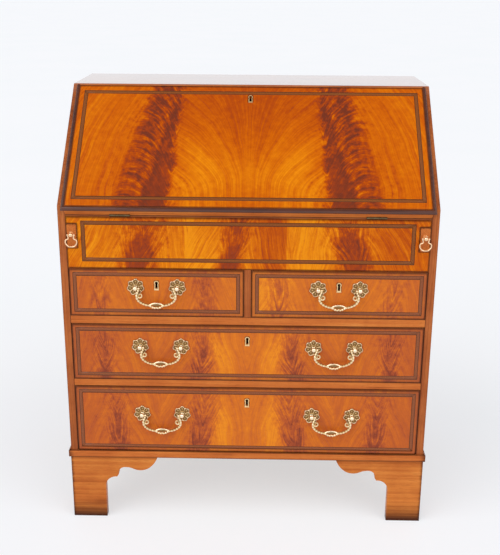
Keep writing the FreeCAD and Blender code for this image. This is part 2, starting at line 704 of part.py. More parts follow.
def make_bail(x, z):
    """The swinging handle: a bent rod on two pintles, with a scroll at each end and a pierced leaf as the grip."""
    half = HANDLE_CENTRES / 2
    plane = FRONT - POST_REACH
    arm = half - POST_BALL - BAIL_ROD - BALL_ROOM
    bar = BAIL_HIP[1]

    def at(offset, rise):
        return Vector(x + offset, plane, z + rise)

    def leaf_face(half_length, arch, leaf):
        edges = [Part.Arc(at(-half_length, bar), at(0, bar + arch), at(half_length, bar)).toShape(),
                 Part.Arc(at(half_length, bar), at(0, bar - leaf), at(-half_length, bar)).toShape()]
        return Part.Face(Part.Wire(edges)).extrude(Vector(0, GRIP_THICKNESS, 0))

    grip = leaf_face(GRIP_HALF, GRIP_ARCH, GRIP_LEAF)
    piercing = leaf_face(GRIP_HALF - 2 * GRIP_RIM, GRIP_ARCH - GRIP_RIM, GRIP_LEAF - GRIP_RIM)
    grip = grip.cut(piercing)
    grip.translate(Vector(0, -GRIP_THICKNESS / 2, 0))
    knee = half + BAIL_KNEE[0]
    hip = half + BAIL_HIP[0]
    grip_end = GRIP_HALF - GRIP_RIM
    shapes = [grip]
    for side in (-1, 1):
        points = [at(side * arm, 0), at(side * knee, BAIL_KNEE[1]), at(side * hip, bar), at(side * grip_end, bar)]
        shapes.append(rod(points, BAIL_BENDS, BAIL_ROD))
        shapes.append(Part.makeSphere(BAIL_ROD, points[0]))
        tip = x + side * (half - POST_BALL + BAIL_PINTLE_DEPTH)
        shapes.append(cylinder_x(BAIL_PINTLE, sorted((points[0].x, tip)), -POST_REACH, z))
        stem = arm + (knee - arm) * SCROLL_DROP / -BAIL_KNEE[1]
        centre = at(side * (stem - SCROLL_RADIUS), -SCROLL_DROP)
        shapes.append(Part.makeTorus(SCROLL_RADIUS, SCROLL_ROD, centre, Vector(0, 1, 0)))
    return joined(shapes)


def drawer_limits():
    """Each drawer's name, its opening across and up, the centres of its handles and their drop from the top."""
    half = DIVIDER_THICKNESS / 2
    long_handles = (-LONG_HANDLE_OFFSET, LONG_HANDLE_OFFSET)
    return [
        ("short_drawer_left", (-INSIDE, -half), (SHORT_FLOOR, SHORT_CEILING), (-SHORT_CENTRE,), SHORT_HANDLE_DROP),
        ("short_drawer_right", (half, INSIDE), (SHORT_FLOOR, SHORT_CEILING), (SHORT_CENTRE,), SHORT_HANDLE_DROP),
        ("upper_drawer", (-INSIDE, INSIDE), (UPPER_FLOOR, UPPER_CEILING), long_handles, UPPER_HANDLE_DROP),
        ("lower_drawer", (-INSIDE, INSIDE), (LOWER_FLOOR, LOWER_CEILING), long_handles, LOWER_HANDLE_DROP),
    ]


def make_fitted_drawer(name, opening_x, opening_z, handles, drop):
    """A drawer with its lock and handles, as a dictionary of named nodes."""
    x = (opening_x[0] + DRAWER_SIDE_GAP, opening_x[1] - DRAWER_SIDE_GAP)
    z = (opening_z[0] + DRAWER_RUN_GAP, opening_z[1] - DRAWER_TOP_GAP)
    front, carcass = make_drawer(x, z, (0, BACK_INNER - DRAWER_REAR_SPACE), FRONT_THICKNESS, DRAWER_SIDE,
                                 DRAWER_BOTTOM, DRAWER_BOTTOM_RISE, DRAWER_GROOVE, DRAWER_SIDE_DROP, TAIL_LENGTH)
    lock, bolt, cuts = make_drawer_lock(sum(x) / 2, z[1])
    nodes = {}
    mounts = []
    for handle_x in handles:
        handle_z = opening_z[1] - drop
        pieces, holes = make_handle_mounts(handle_x, handle_z)
        mounts += pieces
        cuts += holes
        hand = "" if len(handles) == 1 else ("_left" if handle_x < 0 else "_right")
        nodes[name + hand + "_bail"] = [make_bail(handle_x, handle_z)]
    nodes[name + "_front"] = [front.cut(cuts)]
    nodes[name + "_box"] = carcass
    nodes[name + "_lock"] = lock
    nodes[name + "_bolt"] = [bolt]
    nodes[name + "_handle_mounts"] = mounts
    return nodes


# Fall front


def make_hinge(x):
    """A hinge of the fall: the leaf and pin on the writing bed, and the leaf on the fall."""
    half = HINGE_LENGTH / 2
    third = HINGE_LENGTH / 6
    outer_knuckles = [(x - half, x - third - KNUCKLE_GAP), (x + third + KNUCKLE_GAP, x + half)]
    middle_knuckle = (x - third, x + third)
    clear = HINGE_BARREL + HINGE_ROOM
    pin_hole = cylinder_x(HINGE_PIN + HINGE_CLEARANCE, (x - half, x + half), 0, BED_TOP)
    pin = cylinder_x(HINGE_PIN, (x - half, x + half), 0, BED_TOP)
    thin = (BED_TOP - HINGE_LEAF_THICKNESS, BED_TOP)
    bed_leaf = [box((x - half, x + half), (clear, HINGE_LEAF_WIDTH), thin)]
    for knuckle in outer_knuckles:
        bed_leaf.append(box(knuckle, (0, clear), thin))
        bed_leaf.append(cylinder_x(HINGE_BARREL, knuckle, 0, BED_TOP))
    out = (0, HINGE_LEAF_THICKNESS)
    fall_leaf = [fall_box((x - half, x + half), (clear, HINGE_LEAF_WIDTH), out),
                 fall_box(middle_knuckle, (0, clear), out),
                 cylinder_x(HINGE_BARREL, middle_knuckle, 0, BED_TOP)]
    return [joined(bed_leaf).cut(pin_hole), pin], joined(fall_leaf).cut(pin_hole)


def make_fall_edge():
    """The rounded bead along the lower edge and the two ends of the fall, mitred at the corners."""
    inner = INSIDE
    outer = INSIDE + BEAD_WIDTH
    low = HINGE_GAP
    high = HINGE_GAP + BEAD_WIDTH
    out = (SEAT + FALL_CLEARANCE, FALL_THICKNESS)

    def bead(plan, on_outer_edge, on_inner_edge):
        face = polygon([Vector(x, along, out[0]) for x, along in plan])
        strip = face.extrude(Vector(0, 0, out[1] - out[0]))
        strip = rounded_edges(strip, BEAD_ROUND, lambda p: abs(p.z - out[1]) < 0.01 and on_outer_edge(p))
        strip = rounded_edges(strip, BEAD_QUIRK, lambda p: abs(p.z - out[1]) < 0.01 and on_inner_edge(p))
        return on_fall(strip)

    foot = bead([(-outer, low), (outer, low), (inner, high), (-inner, high)],
                lambda p: abs(p.y - low) < 0.01, lambda p: abs(p.y - high) < 0.01)
    end = bead([(outer, low), (outer, FALL_LIP_TOP), (inner, FALL_LIP_TOP), (inner, high)],
               lambda p: abs(p.x - outer) < 0.01, lambda p: abs(p.x - inner) < 0.01)
    return [foot] + both_sides(end)


def make_fall():
    """The fall's board, with its lock, the lock's bolt and the writing leather let into it."""
    def place(offset, rise):
        return Vector(offset, FALL_KEYHOLE + rise, FALL_THICKNESS + ESCUTCHEON_PROUD)

    inward = Vector(0, 0, -1)
    half_width = BOLT_WIDTH / 2
    way_out = BOLT_FROM_BACK + BOLT_THICKNESS + BOLT_CLEARANCE
    pocket = fall_box((-LOCK_WIDTH / 2, LOCK_WIDTH / 2), (FALL_BODY_TOP - LOCK_HEIGHT, FALL_BODY_TOP),
                      (0, LOCK_THICKNESS))
    bolt = fall_box((-half_width, half_width), (FALL_BODY_TOP - BOLT_LENGTH, FALL_BODY_TOP),
                    (BOLT_FROM_BACK, BOLT_FROM_BACK + BOLT_THICKNESS))
    way = fall_box((-half_width - BOLT_CLEARANCE, half_width + BOLT_CLEARANCE),
                   (FALL_BODY_TOP - BOLT_LENGTH - BOLT_CLEARANCE, FALL_BODY_TOP),
                   (BOLT_FROM_BACK - BOLT_CLEARANCE, way_out))
    hole = on_fall(keyhole(place, inward, FALL_THICKNESS + ESCUTCHEON_PROUD - way_out))
    plate_seat = on_fall(escutcheon(place, inward, 2 * ESCUTCHEON_PROUD, FALL_ESCUTCHEON_SCALE))
    leather_x = INSIDE - LEATHER_SIDE_MARGIN
    leather = fall_box((-leather_x, leather_x),
                       (LEATHER_LOW_MARGIN, FALL_BODY_TOP - LOCK_HEIGHT - LEATHER_LOCK_MARGIN), (0, LEATHER_THICKNESS))
    body_x = INSIDE - FALL_CLEARANCE
    step = SEAT + FALL_CLEARANCE
    body = fall_box((-body_x, body_x), (HINGE_GAP, FALL_BODY_TOP), (0, step))
    low = HINGE_GAP + BEAD_WIDTH
    face = Part.makeBox(2 * INSIDE, FALL_LIP_TOP - low, FALL_THICKNESS - step, Vector(-INSIDE, low, step))
    face = rounded_edges(face, LIP_TOP_ROUND,
                         lambda p: abs(p.y - FALL_LIP_TOP) < 0.01 and abs(p.z - FALL_THICKNESS) < 0.01)
    cuts = [pocket, hole, plate_seat, leather]
    for x in (-HINGE_CENTRE, HINGE_CENTRE):
        half = HINGE_LENGTH / 2
        cuts.append(fall_box((x - half, x + half), (HINGE_GAP, HINGE_LEAF_WIDTH), (0, HINGE_LEAF_THICKNESS)))
        cuts.append(hinge_room(x))
    board = joined([body, on_fall(face)]).cut(cuts)
    return board, [pocket.cut([way, hole]), plate_seat.cut(hole)], bolt, leather


# Lopers


def make_loper(x):
    """The loper whose middle is at x, with its stud and its hanging ring."""
    front = LOPER_SETBACK
    bar = box((x - LOPER_WIDTH / 2, x + LOPER_WIDTH / 2), (front, BACK_INNER - LOPER_REAR_SPACE),
              (LOPER_BOTTOM, LOPER_TOP))
    centre = front - STUD_REACH
    stud = joined([cylinder_y(STUD_FLANGE, x, (front - STUD_FLANGE_THICKNESS, front), STUD_Z),
                   cylinder_y(STUD_NECK, x, (centre, front - STUD_FLANGE_THICKNESS), STUD_Z),
                   cylinder_y(STUD_SHANK, x, (front, front + STUD_SHANK_LENGTH), STUD_Z),
                   ball(STUD_BALL, x, centre, STUD_Z)])
    bar = bar.cut(cylinder_y(STUD_SHANK, x, (front, front + STUD_SHANK_LENGTH), STUD_Z))
    arm = STUD_BALL + RING_EYE + BALL_ROOM
    half_path = [(arm, 0.0), RING_NECK, RING_SHOULDER, RING_FLANK, RING_BASE]
    path = half_path + [(-across_path, rise) for across_path, rise in reversed(half_path)]
    points = [Vector(x + offset, FRONT + centre, STUD_Z + rise) for offset, rise in path]
    shapes = [rod(points, RING_BENDS + RING_BENDS[::-1], RING_ROD)]
    sockets = []
    for side in (-1, 1):
        shapes.append(Part.makeSphere(RING_EYE, Vector(x + side * arm, FRONT + centre, STUD_Z)))
        inner = x + side * (STUD_BALL - RING_PINTLE_DEPTH)
        shapes.append(cylinder_x(RING_PINTLE, sorted((inner, x + side * arm)), centre, STUD_Z))
        floor = x + side * (STUD_BALL - RING_PINTLE_DEPTH - BALL_ROOM)
        mouth = x + side * (STUD_BALL + PINTLE_CLEARANCE)
        sockets.append(cylinder_x(RING_PINTLE + PINTLE_CLEARANCE, sorted((floor, mouth)), centre, STUD_Z))
    return bar, stud.cut(sockets), joined(shapes)


# Fittings inside the desk


def make_pigeonholes():
    """The shelf over the small drawers, the divider between them and the partitions above."""
    depth = (FITMENT_FRONT, BACK_INNER)
    shelf_bottom = BED_TOP + SMALL_OPENING
    shelf_top = shelf_bottom + SHELF_THICKNESS
    shelf = box((-INSIDE, INSIDE), depth, (shelf_bottom, shelf_top))
    divider = box((-SMALL_DIVIDER / 2, SMALL_DIVIDER / 2), depth, (BED_TOP, shelf_bottom))
    pitch = (2 * INSIDE + PARTITION_THICKNESS) / PIGEONHOLE_COUNT
    partitions = []
    for index in range(1, PIGEONHOLE_COUNT):
        right = -INSIDE + index * pitch
        partitions.append(box((right - PARTITION_THICKNESS, right), depth, (shelf_top, DESK_CEILING)))
    return [shelf, divider] + partitions


def make_small_drawer(side):
    """The small drawer on one side, -1 or 1, with a turned knob doweled into its front."""
    x = sorted((side * (SMALL_DIVIDER / 2 + SMALL_GAP), side * (INSIDE - SMALL_GAP)))
    z = (BED_TOP + DRAWER_RUN_GAP, BED_TOP + SMALL_OPENING - SMALL_GAP)
    near = FITMENT_FRONT + SMALL_SETBACK
    front, carcass = make_drawer(x, z, (near, BACK_INNER - SMALL_REAR_SPACE), SMALL_FRONT, SMALL_SIDE, SMALL_BOTTOM,
                                 SMALL_BOTTOM_RISE, SMALL_GROOVE, SMALL_SIDE_DROP, SMALL_TAIL_LENGTH)
    knob_x = sum(x) / 2
    knob_z = sum(z) / 2
    dowel = cylinder_y(KNOB_DOWEL, knob_x, (near, near + KNOB_DOWEL_DEPTH), knob_z)
    neck = cylinder_y(KNOB_NECK, knob_x, (near - KNOB_REACH + KNOB_RADIUS, near), knob_z)
    knob = joined([dowel, neck, ball(KNOB_RADIUS, knob_x, near - KNOB_REACH + KNOB_RADIUS, knob_z)])
    return [front.cut(dowel), knob] + carcass


def make_nodes():
    """Every piece of the bureau, as a dictionary of node names and lists of solids."""
    bed = make_writing_bed()
    rails = make_rails()
    bottom = make_bottom_board()
    dust = make_dust_board()
    side = make_side([bed, bottom, dust] + rails)
    nodes = {
        "side_left": [mirrored(side)],
        "side_right": [side],
        "top_board": make_top_board(),
        "back_boards": make_back_boards(),
        "writing_bed": [bed],
        "dust_board": [dust],
        "bottom_board": [bottom],
        "frieze_board": [make_frieze()],
        "drawer_rails": rails,
        "short_drawer_divider": [make_divider()],
        "drawer_runners_and_stops": make_runners() + make_stops(),
        "loper_guides": make_loper_guides(),
        "base_moulding": make_base_moulding(),
        "foot_glue_blocks": make_glue_blocks(),
        "pigeonholes": make_pigeonholes(),
    }
    for name, foot in (("front", make_front_foot()), ("rear", make_rear_foot())):
        nodes["foot_" + name + "_left"] = [mirrored(piece) for piece in foot]
        nodes["foot_" + name + "_right"] = foot
    bed_leaves = []
    fall_leaves = []
    for x in (-HINGE_CENTRE, HINGE_CENTRE):
        bed_leaf, fall_leaf = make_hinge(x)
        bed_leaves += bed_leaf
        fall_leaves.append(fall_leaf)
    nodes["hinge_bed_leaves"] = bed_leaves
    nodes["hinge_fall_leaves"] = fall_leaves
    board, lock, bolt, leather = make_fall()
    nodes["fall_board"] = [board]
    nodes["fall_edge_bead"] = make_fall_edge()
    nodes["fall_lock"] = lock
    nodes["fall_bolt"] = [bolt]
    nodes["fall_leather"] = [leather]
    for hand, side in (("_left", -1), ("_right", 1)):
        loper, stud, ring = make_loper(side * STUD_X)
        nodes["loper" + hand] = [loper]
        nodes["loper_stud" + hand] = [stud]
        nodes["loper_ring" + hand] = [ring]
        nodes["small_drawer" + hand] = make_small_drawer(side)
    for limits in drawer_limits():
        nodes.update(make_fitted_drawer(*limits))
    return nodes


def main():
    os.makedirs("parts", exist_ok=True)
    for name, solids in make_nodes().items():
        shape = solids[0] if len(solids) == 1 else Part.makeCompound(solids)
        shape.exportStep("parts/" + name + ".step")


if __name__ == "__main__":
    main()
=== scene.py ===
"""The looks of a mahogany slant-front writing bureau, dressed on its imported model. Sizes are in millimetres."""
from functools import partial

import bmesh
import bpy
import numpy as np
from mathutils import Matrix


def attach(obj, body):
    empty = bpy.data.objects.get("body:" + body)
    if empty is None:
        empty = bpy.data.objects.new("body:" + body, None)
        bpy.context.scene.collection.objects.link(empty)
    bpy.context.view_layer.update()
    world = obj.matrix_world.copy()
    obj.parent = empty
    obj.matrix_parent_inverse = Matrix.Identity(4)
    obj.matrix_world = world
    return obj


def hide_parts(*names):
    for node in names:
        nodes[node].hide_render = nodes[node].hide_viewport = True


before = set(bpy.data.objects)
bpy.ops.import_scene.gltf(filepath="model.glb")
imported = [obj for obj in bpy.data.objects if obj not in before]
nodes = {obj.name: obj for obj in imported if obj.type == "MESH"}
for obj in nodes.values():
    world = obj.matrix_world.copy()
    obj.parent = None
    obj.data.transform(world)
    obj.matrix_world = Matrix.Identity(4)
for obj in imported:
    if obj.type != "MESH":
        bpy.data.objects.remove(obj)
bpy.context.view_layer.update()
scene = bpy.context.scene
scene.view_settings.view_transform = "Standard"


# The carcase: two sides, the top board, the writing bed, the rails and the upright between the short drawers.
# They are solid mahogany boards, planed, housed into each other and glued, then stained and French polished.
# The polish is a thin film of shellac: clear depth over straight grain, and a gloss that shows most at a slant.
MM = 0.001
FRONT = -233.75
SIDE_OUTSIDE = 420.0
SIDE_INSIDE = 403.0
BED_TOP = 759.0
RAIL_EDGES = (348.5, 366.0, 503.5, 523.0)
CLOUD = 70.0
# The colour of the dark bands at planes: dirt in joints and corners, and painted shade in the gaps between parts.
GRIME_AND_SHADE = "#3a1c12"
FOOT_THICKNESS = 18.0


def linear(colour):
    """Linear RGBA of an sRGB hex colour: c / 12.92 near black, and above that ((c + 0.055) / 1.055) ^ 2.4."""
    value = np.array([int(colour[start:start + 2], 16) for start in (1, 3, 5)]) / 255
    channels = np.where(value <= 0.04045, value / 12.92, ((value + 0.055) / 1.055) ** 2.4)
    return (*channels.tolist(), 1.0)


def feed(node, inputs):
    """Sets a node's inputs, given by name or in order, or links them to a socket or another node's first output."""
    for key, value in inputs.items() if isinstance(inputs, dict) else enumerate(inputs):
        if isinstance(value, bpy.types.Node):
            value = value.outputs[0]
        if isinstance(value, bpy.types.NodeSocket):
            node.id_data.links.new(value, node.inputs[key])
        else:
            node.inputs[key].default_value = value


def add(tree, kind, inputs=(), stops=(), **settings):
    """A shader node of that kind, with its settings, its inputs fed, and the stops of its colour ramp."""
    node = tree.nodes.new("ShaderNode" + kind)
    for name, value in settings.items():
        setattr(node, name, value)
    feed(node, inputs)
    for index, (position, colour) in enumerate(stops):
        element = node.color_ramp.elements[index] if index < 2 else node.color_ramp.elements.new(position)
        element.position = position
        element.color = linear(colour)
    return node


def new_material(name):
    """An empty material, the function that adds nodes to it, and its surface shader joined to the output."""
    material = bpy.data.materials.new(name)
    material.use_nodes = True
    material.node_tree.nodes.clear()
    node = partial(add, material.node_tree)
    shader = node("BsdfPrincipled")
    node("OutputMaterial", {"Surface": shader})
    return material, node, shader


def finish_wood(node, shader, colour, streaks, roughness, pores, strength, depth, polish):
    """Polish over a wood's colour: streaks swing the roughness between its two values, and the pores give relief."""
    gloss = node("MapRange", {"Value": streaks, "From Min": 0.3, "From Max": 0.7, "To Min": roughness[0],
                              "To Max": roughness[1]})
    relief = node("Bump", {"Height": pores, "Strength": strength, "Distance": depth * MM})
    feed(shader, {"Base Color": colour, "Roughness": gloss, "Normal": relief, "IOR": 1.5,
                  "Specular IOR Level": polish})


def timber(name, grain, stops, band=28.0, streak=3.2, pore=0.7, roughness=(0.24, 0.36), polish=0.3, grime_and_shade=(),
           mitre=()):
    """Wood with its grain along axis number grain, as noise on Object coordinates drawn out along that axis.

    The tone is 0.45 of broad bands and 0.55 of narrow streaks, shifted by 0.4 of soft clouds where the stain took
    unevenly, and fine pore dashes darken it. band, streak and pore are their widths: a band is 700 mm long, a streak
    55 times and a dash 22 times as long as it is wide. The dark bands listed after polish are (axis, place, reach),
    each darkening the wood within that reach of that plane: dirt in a joint on some pieces, painted shade in a gap
    between parts on others. mitre (outside, front, reach) is for pieces that turn a corner there: beyond the mitre,
    and no deeper than a bracket is thick, the grain runs front to back instead of across, and dirt gathers within
    that reach of the corner's edge.
    """
    material, node, shader = new_material(name)
    place = node("TexCoord").outputs["Object"]
    grown = place
    dirt_and_shade_bands = []
    if mitre:
        outside, front, corner_reach = mitre
        x, y, z = node("SeparateXYZ", (place,)).outputs
        across = node("Math", (x,), operation="ABSOLUTE")
        depth = node("Math", (outside * MM, across), operation="SUBTRACT")
        back = node("Math", (y, front * MM), operation="SUBTRACT")
        limit = node("Math", (back, FOOT_THICKNESS * MM), operation="MINIMUM")
        side = node("Math", (depth, limit), operation="LESS_THAN")
        turned = node("CombineXYZ", (y, x, z))
        grown = node("Mix", {0: side, 4: place, 5: turned}, data_type="VECTOR").outputs[1]
        beside = node("Math", (depth,), operation="ABSOLUTE")
        behind = node("Math", (back,), operation="ABSOLUTE")
        corner = node("Math", (beside, behind), operation="MAXIMUM")
        dirt_and_shade_bands.append((corner, corner_reach))
    tones = []
    for width, length, detail in ((band, 700.0, 3.0), (streak, 55 * streak, 5.0), (pore, 22 * pore, 2.0)):
        scale = [1 / (width * MM)] * 3
        scale[grain] = 1 / (length * MM)
        drawn = node("Mapping", {"Vector": grown, "Scale": scale})
        tones.append(node("TexNoise", {"Vector": drawn, "Scale": 1.0, "Detail": detail}))
    bands, streaks, pores = tones
    cloud = node("TexNoise", {"Vector": place, "Scale": 1 / (CLOUD * MM), "Detail": 3.0})
    swing = node("Math", (cloud, 0.5), operation="SUBTRACT")
    tone = node("Math", (swing, 0.4), operation="MULTIPLY")
    tone = node("Math", (bands, 0.45, tone), operation="MULTIPLY_ADD")
    tone = node("Math", (streaks, 0.55, tone), operation="MULTIPLY_ADD")
    colour = node("ValToRGB", {"Fac": tone}, stops=stops)
    dash = node("MapRange", {"Value": pores, "From Min": 0.54, "From Max": 0.72, "To Max": 0.55})
    colour = node("Mix", {0: dash, 6: colour, 7: linear(stops[0][1])}, data_type="RGBA").outputs[2]
    # Dark bands at planes: on some pieces dirt in a joint, on others painted shade in a gap between parts.
    for axis, position, reach in grime_and_shade:
        along = node("SeparateXYZ", (place,)).outputs[axis]
        away = node("Math", (along, position * MM), operation="SUBTRACT")
        away = node("Math", (away,), operation="ABSOLUTE")
        dirt_and_shade_bands.append((away, reach))
    for away, reach in dirt_and_shade_bands:
        # Each band darkens the colour: dirt for joints and corners, painted shade for gaps between parts.
        ragged = node("Math", (streaks, 0.8 * reach * MM, away), operation="MULTIPLY_ADD")
        dirt_and_shade = node("MapRange", {"Value": ragged, "From Min": 1.4 * reach * MM, "From Max": 0.25 * reach * MM,
                                 "To Max": 0.8}, interpolation_type="SMOOTHSTEP")
        colour = node("Mix", {0: dirt_and_shade, 6: colour, 7: linear(GRIME_AND_SHADE)}, data_type="RGBA").outputs[2]
    finish_wood(node, shader, colour, streaks, roughness, pores, strength=0.12, depth=0.15, polish=polish)
    return material


def dress(material, *names):
    """Gives CAD nodes that material."""
    for name in names:
        node = nodes[name]
        for slot in node.material_slots:
            slot.material = material
        if not node.material_slots:
            node.data.materials.append(material)


def soften(width, *names):
    """Rounds the sharp edges of CAD nodes, as sanding and polishing do: loose triangles are welded, then bevelled."""
    for name in names:
        weld = nodes[name].modifiers.new("weld", "WELD")
        weld.merge_threshold = 0.01 * MM
        bevel = nodes[name].modifiers.new("worn edge", "BEVEL")
        bevel.width = width * MM
        bevel.segments = 2
        bevel.limit_method = "ANGLE"
        bevel.angle_limit = np.radians(40)
        bevel.use_clamp_overlap = True
        bevel.harden_normals = True


SOLID_STOPS = ((0.25, "#632c16"), (0.42, "#954c24"), (0.58, "#ad5f2f"), (0.78, "#c2763e"))
RAIL_STOPS = ((0.25, "#86411a"), (0.42, "#b8612a"), (0.58, "#c97232"), (0.78, "#d88a45"))
# The sides darken with dirt along their outer corner, which also darkens the outer face, and with painted shade along
# their inner edge, in the gaps beside the drawers and the fall's lip.
SIDE_DIRT_AND_SHADE = ((SIDE_OUTSIDE + 1.5, 4.0), (SIDE_INSIDE, 2.5))
mahogany_upright = timber("French polished mahogany, upright grain", 2, SOLID_STOPS, polish=0.12,
                          grime_and_shade=[(0, side * place, reach) for place, reach in SIDE_DIRT_AND_SHADE for side in (-1, 1)])
# The rails darken along their top and bottom edges with painted shade: the shadow lines in the gaps above and below
# the drawers.
mahogany_across = timber("French polished mahogany, grain across", 0, RAIL_STOPS, polish=0.12,
                         grime_and_shade=[(2, edge, 2.2) for edge in RAIL_EDGES])
polished_top = timber("French polished mahogany, top", 0, SOLID_STOPS, roughness=(0.12, 0.2), polish=0.5)
top_shader = polished_top.node_tree.nodes["Principled BSDF"]
feed(top_shader, {"Coat Weight": 1.0, "Coat Roughness": 0.08})
# The writing bed's front darkens near its top with painted shade, under the overhang of the fall's bead.
mahogany_bed = timber("French polished mahogany, writing bed", 0, SOLID_STOPS, polish=0.12,
                      grime_and_shade=((2, BED_TOP, 5.0),))
dress(mahogany_upright, "side_left", "side_right", "short_drawer_divider")
dress(mahogany_across, "drawer_rails", "frieze_board")
dress(mahogany_bed, "writing_bed")
dress(polished_top, "top_board")
soften(0.8, "side_left", "side_right", "top_board", "drawer_rails", "short_drawer_divider", "writing_bed")


# The boards behind and inside: back, bottom, dust board, runners and stops, loper guides and glue blocks.
# They are deal, a plain pine, sawn and left unfinished, so they are pale, dry and matt, with wide growth bands.
BACK_SEAMS = (-241.8, -80.6, 80.6, 241.8)
DEAL_STOPS = ((0.25, "#8a6238"), (0.42, "#b48a55"), (0.58, "#c9a26a"), (0.78, "#d9b985"))
DEAL = {"stops": DEAL_STOPS, "band": 34, "streak": 5, "roughness": (0.62, 0.8), "polish": 0.2}
deal_across = timber("unfinished deal, grain across", 0, **DEAL)
deal_upright = timber("unfinished deal, upright grain", 2, grime_and_shade=[(0, seam, 2.2) for seam in BACK_SEAMS], **DEAL)
deal_back = timber("unfinished deal, grain front to back", 1, **DEAL)
dress(deal_upright, "back_boards", "foot_glue_blocks")
dress(deal_across, "bottom_board", "dust_board")
dress(deal_back, "drawer_runners_and_stops", "loper_guides")
soften(0.6, "back_boards", "foot_glue_blocks")


# The base moulding and the four bracket feet: mahogany run to a cove and sawn to a bracket's outline.
# The moulding is mitred at the corners and planted on. The brackets are mitred and glued with the grain lengthways.
# They are darker towards their lower ends, and dirt darkens the mitres and the moulding's lower edge.
# Painted shade darkens the tops of the feet under the moulding, and the moulding's top below the lower drawer.
FEET = ("foot_front_left", "foot_front_right", "foot_rear_left", "foot_rear_right")
FOOT_HEIGHT = 164.0
FOOT_PROUD = 1.0
MOULDING_PROUD = 5.0
LOWER_DRAWER_FOOT = 180.3
FOOT_STOPS = ((0.25, "#8f4519"), (0.42, "#b8642a"), (0.58, "#cc7935"), (0.78, "#da8f48"))
# The bands at height 0 make a foot darker towards its lower end; the band at FOOT_HEIGHT is painted shade under the
# moulding.
mahogany_foot = timber("French polished mahogany, bracket feet", 0, FOOT_STOPS, band=40, streak=8, polish=0.1,
                       grime_and_shade=((2, 0.0, 62.0), (2, 0.0, 20.0), (2, FOOT_HEIGHT, 5.0)),
                       mitre=(SIDE_OUTSIDE + FOOT_PROUD, FRONT - FOOT_PROUD, 8.0))
# Its band at FOOT_HEIGHT is dirt along its lower edge, and the one at LOWER_DRAWER_FOOT is painted shade in the gap
# below the lower drawer.
mahogany_moulding = timber("French polished mahogany, base moulding", 0, RAIL_STOPS, polish=0.12,
                           grime_and_shade=((2, FOOT_HEIGHT, 3.0), (2, LOWER_DRAWER_FOOT, 2.0)),
                           mitre=(SIDE_OUTSIDE + MOULDING_PROUD, FRONT - MOULDING_PROUD, 16.0))
dress(mahogany_foot, *FEET)
dress(mahogany_moulding, "base_moulding")
soften(0.5, *FEET)


# The frieze: a fixed board above the short drawers, notched at each end for a loper.
# It is faced with three leaves of flame veneer, cut from where a trunk forks, and a frame of feather banding.
# The veneer is sawn thin, glued down, scraped and French polished, so it is smooth, deep and warm.
BAND_INSET = 8.3
BORDER_BROWN = "#8a4d30"
# The colour of a leaf's dark edges: dirt, and painted shade in the gaps round the leaf.
EDGE_DIRT_AND_SHADE = "#280f05"
LEAF_STEP = 4.0
VENEER_PROUD = 0.12
BAND_PROUD = 0.17


def add_piece(name, grids, material, body, stands_for=(), marks=None, skin=0.0):
    """One object from grids of points in millimetres, riding on a body.

    A grid is (points, wrap, keep): points has rows and columns and the cells between them are faces, wrap joins its
    last column to its first, and keep says which cells stay. marks are named values for the points in grid order:
    pairs make a UV map and single numbers an attribute. A piece is welded and its faces turned outwards, but a skin
    is an open sheet that is thickened inwards that much, down to what it is glued on.
    """
    points = []
    faces = []
    start = 0
    for grid, wrap, keep in grids:
        rows, columns = grid.shape[:2]
        index = start + np.arange(rows * columns).reshape(rows, columns)
        if wrap:
            index = np.concatenate([index, index[:, :1]], axis=1)
        cells = np.stack([index[:-1, :-1], index[:-1, 1:], index[1:, 1:], index[1:, :-1]], axis=-1)
        faces.append(cells.reshape(-1, 4) if keep is None else cells[keep])
        points.append(grid.reshape(-1, 3))
        start += rows * columns
    mesh = bpy.data.meshes.new(name)
    mesh.from_pydata(np.concatenate(points) * MM, [], np.concatenate(faces))
    corners = np.empty(len(mesh.loops), dtype=np.int32)
    mesh.loops.foreach_get("vertex_index", corners)
    for mark, values in (marks or {}).items():
        if values.ndim == 2:
            mesh.uv_layers.new(name=mark).data.foreach_set("uv", values[corners].astype(np.float32).ravel())
        else:
            mesh.attributes.new(mark, "FLOAT", "POINT").data.foreach_set("value", values.astype(np.float32))
    work = bmesh.new()
    work.from_mesh(mesh)
    if not skin:
        weld = 0.0005 * MM
        bmesh.ops.remove_doubles(work, verts=work.verts, dist=weld)
        bmesh.ops.dissolve_degenerate(work, edges=work.edges, dist=weld)
        bmesh.ops.recalc_face_normals(work, faces=work.faces)
    loose = [vertex for vertex in work.verts if not vertex.link_faces]
    bmesh.ops.delete(work, geom=loose, context="VERTS")
    work.to_mesh(mesh)
    work.free()
    mesh.polygons.foreach_set("use_smooth", [True] * len(mesh.polygons))
    mesh.materials.append(material)
    piece = bpy.data.objects.new(name, mesh)
    scene.collection.objects.link(piece)
    if skin:
        glued = piece.modifiers.new("skin thickness", "SOLIDIFY")
        glued.thickness = skin * MM
        glued.offset = -1
    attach(piece, body)
    if stands_for:
        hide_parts(*stands_for)
    return piece


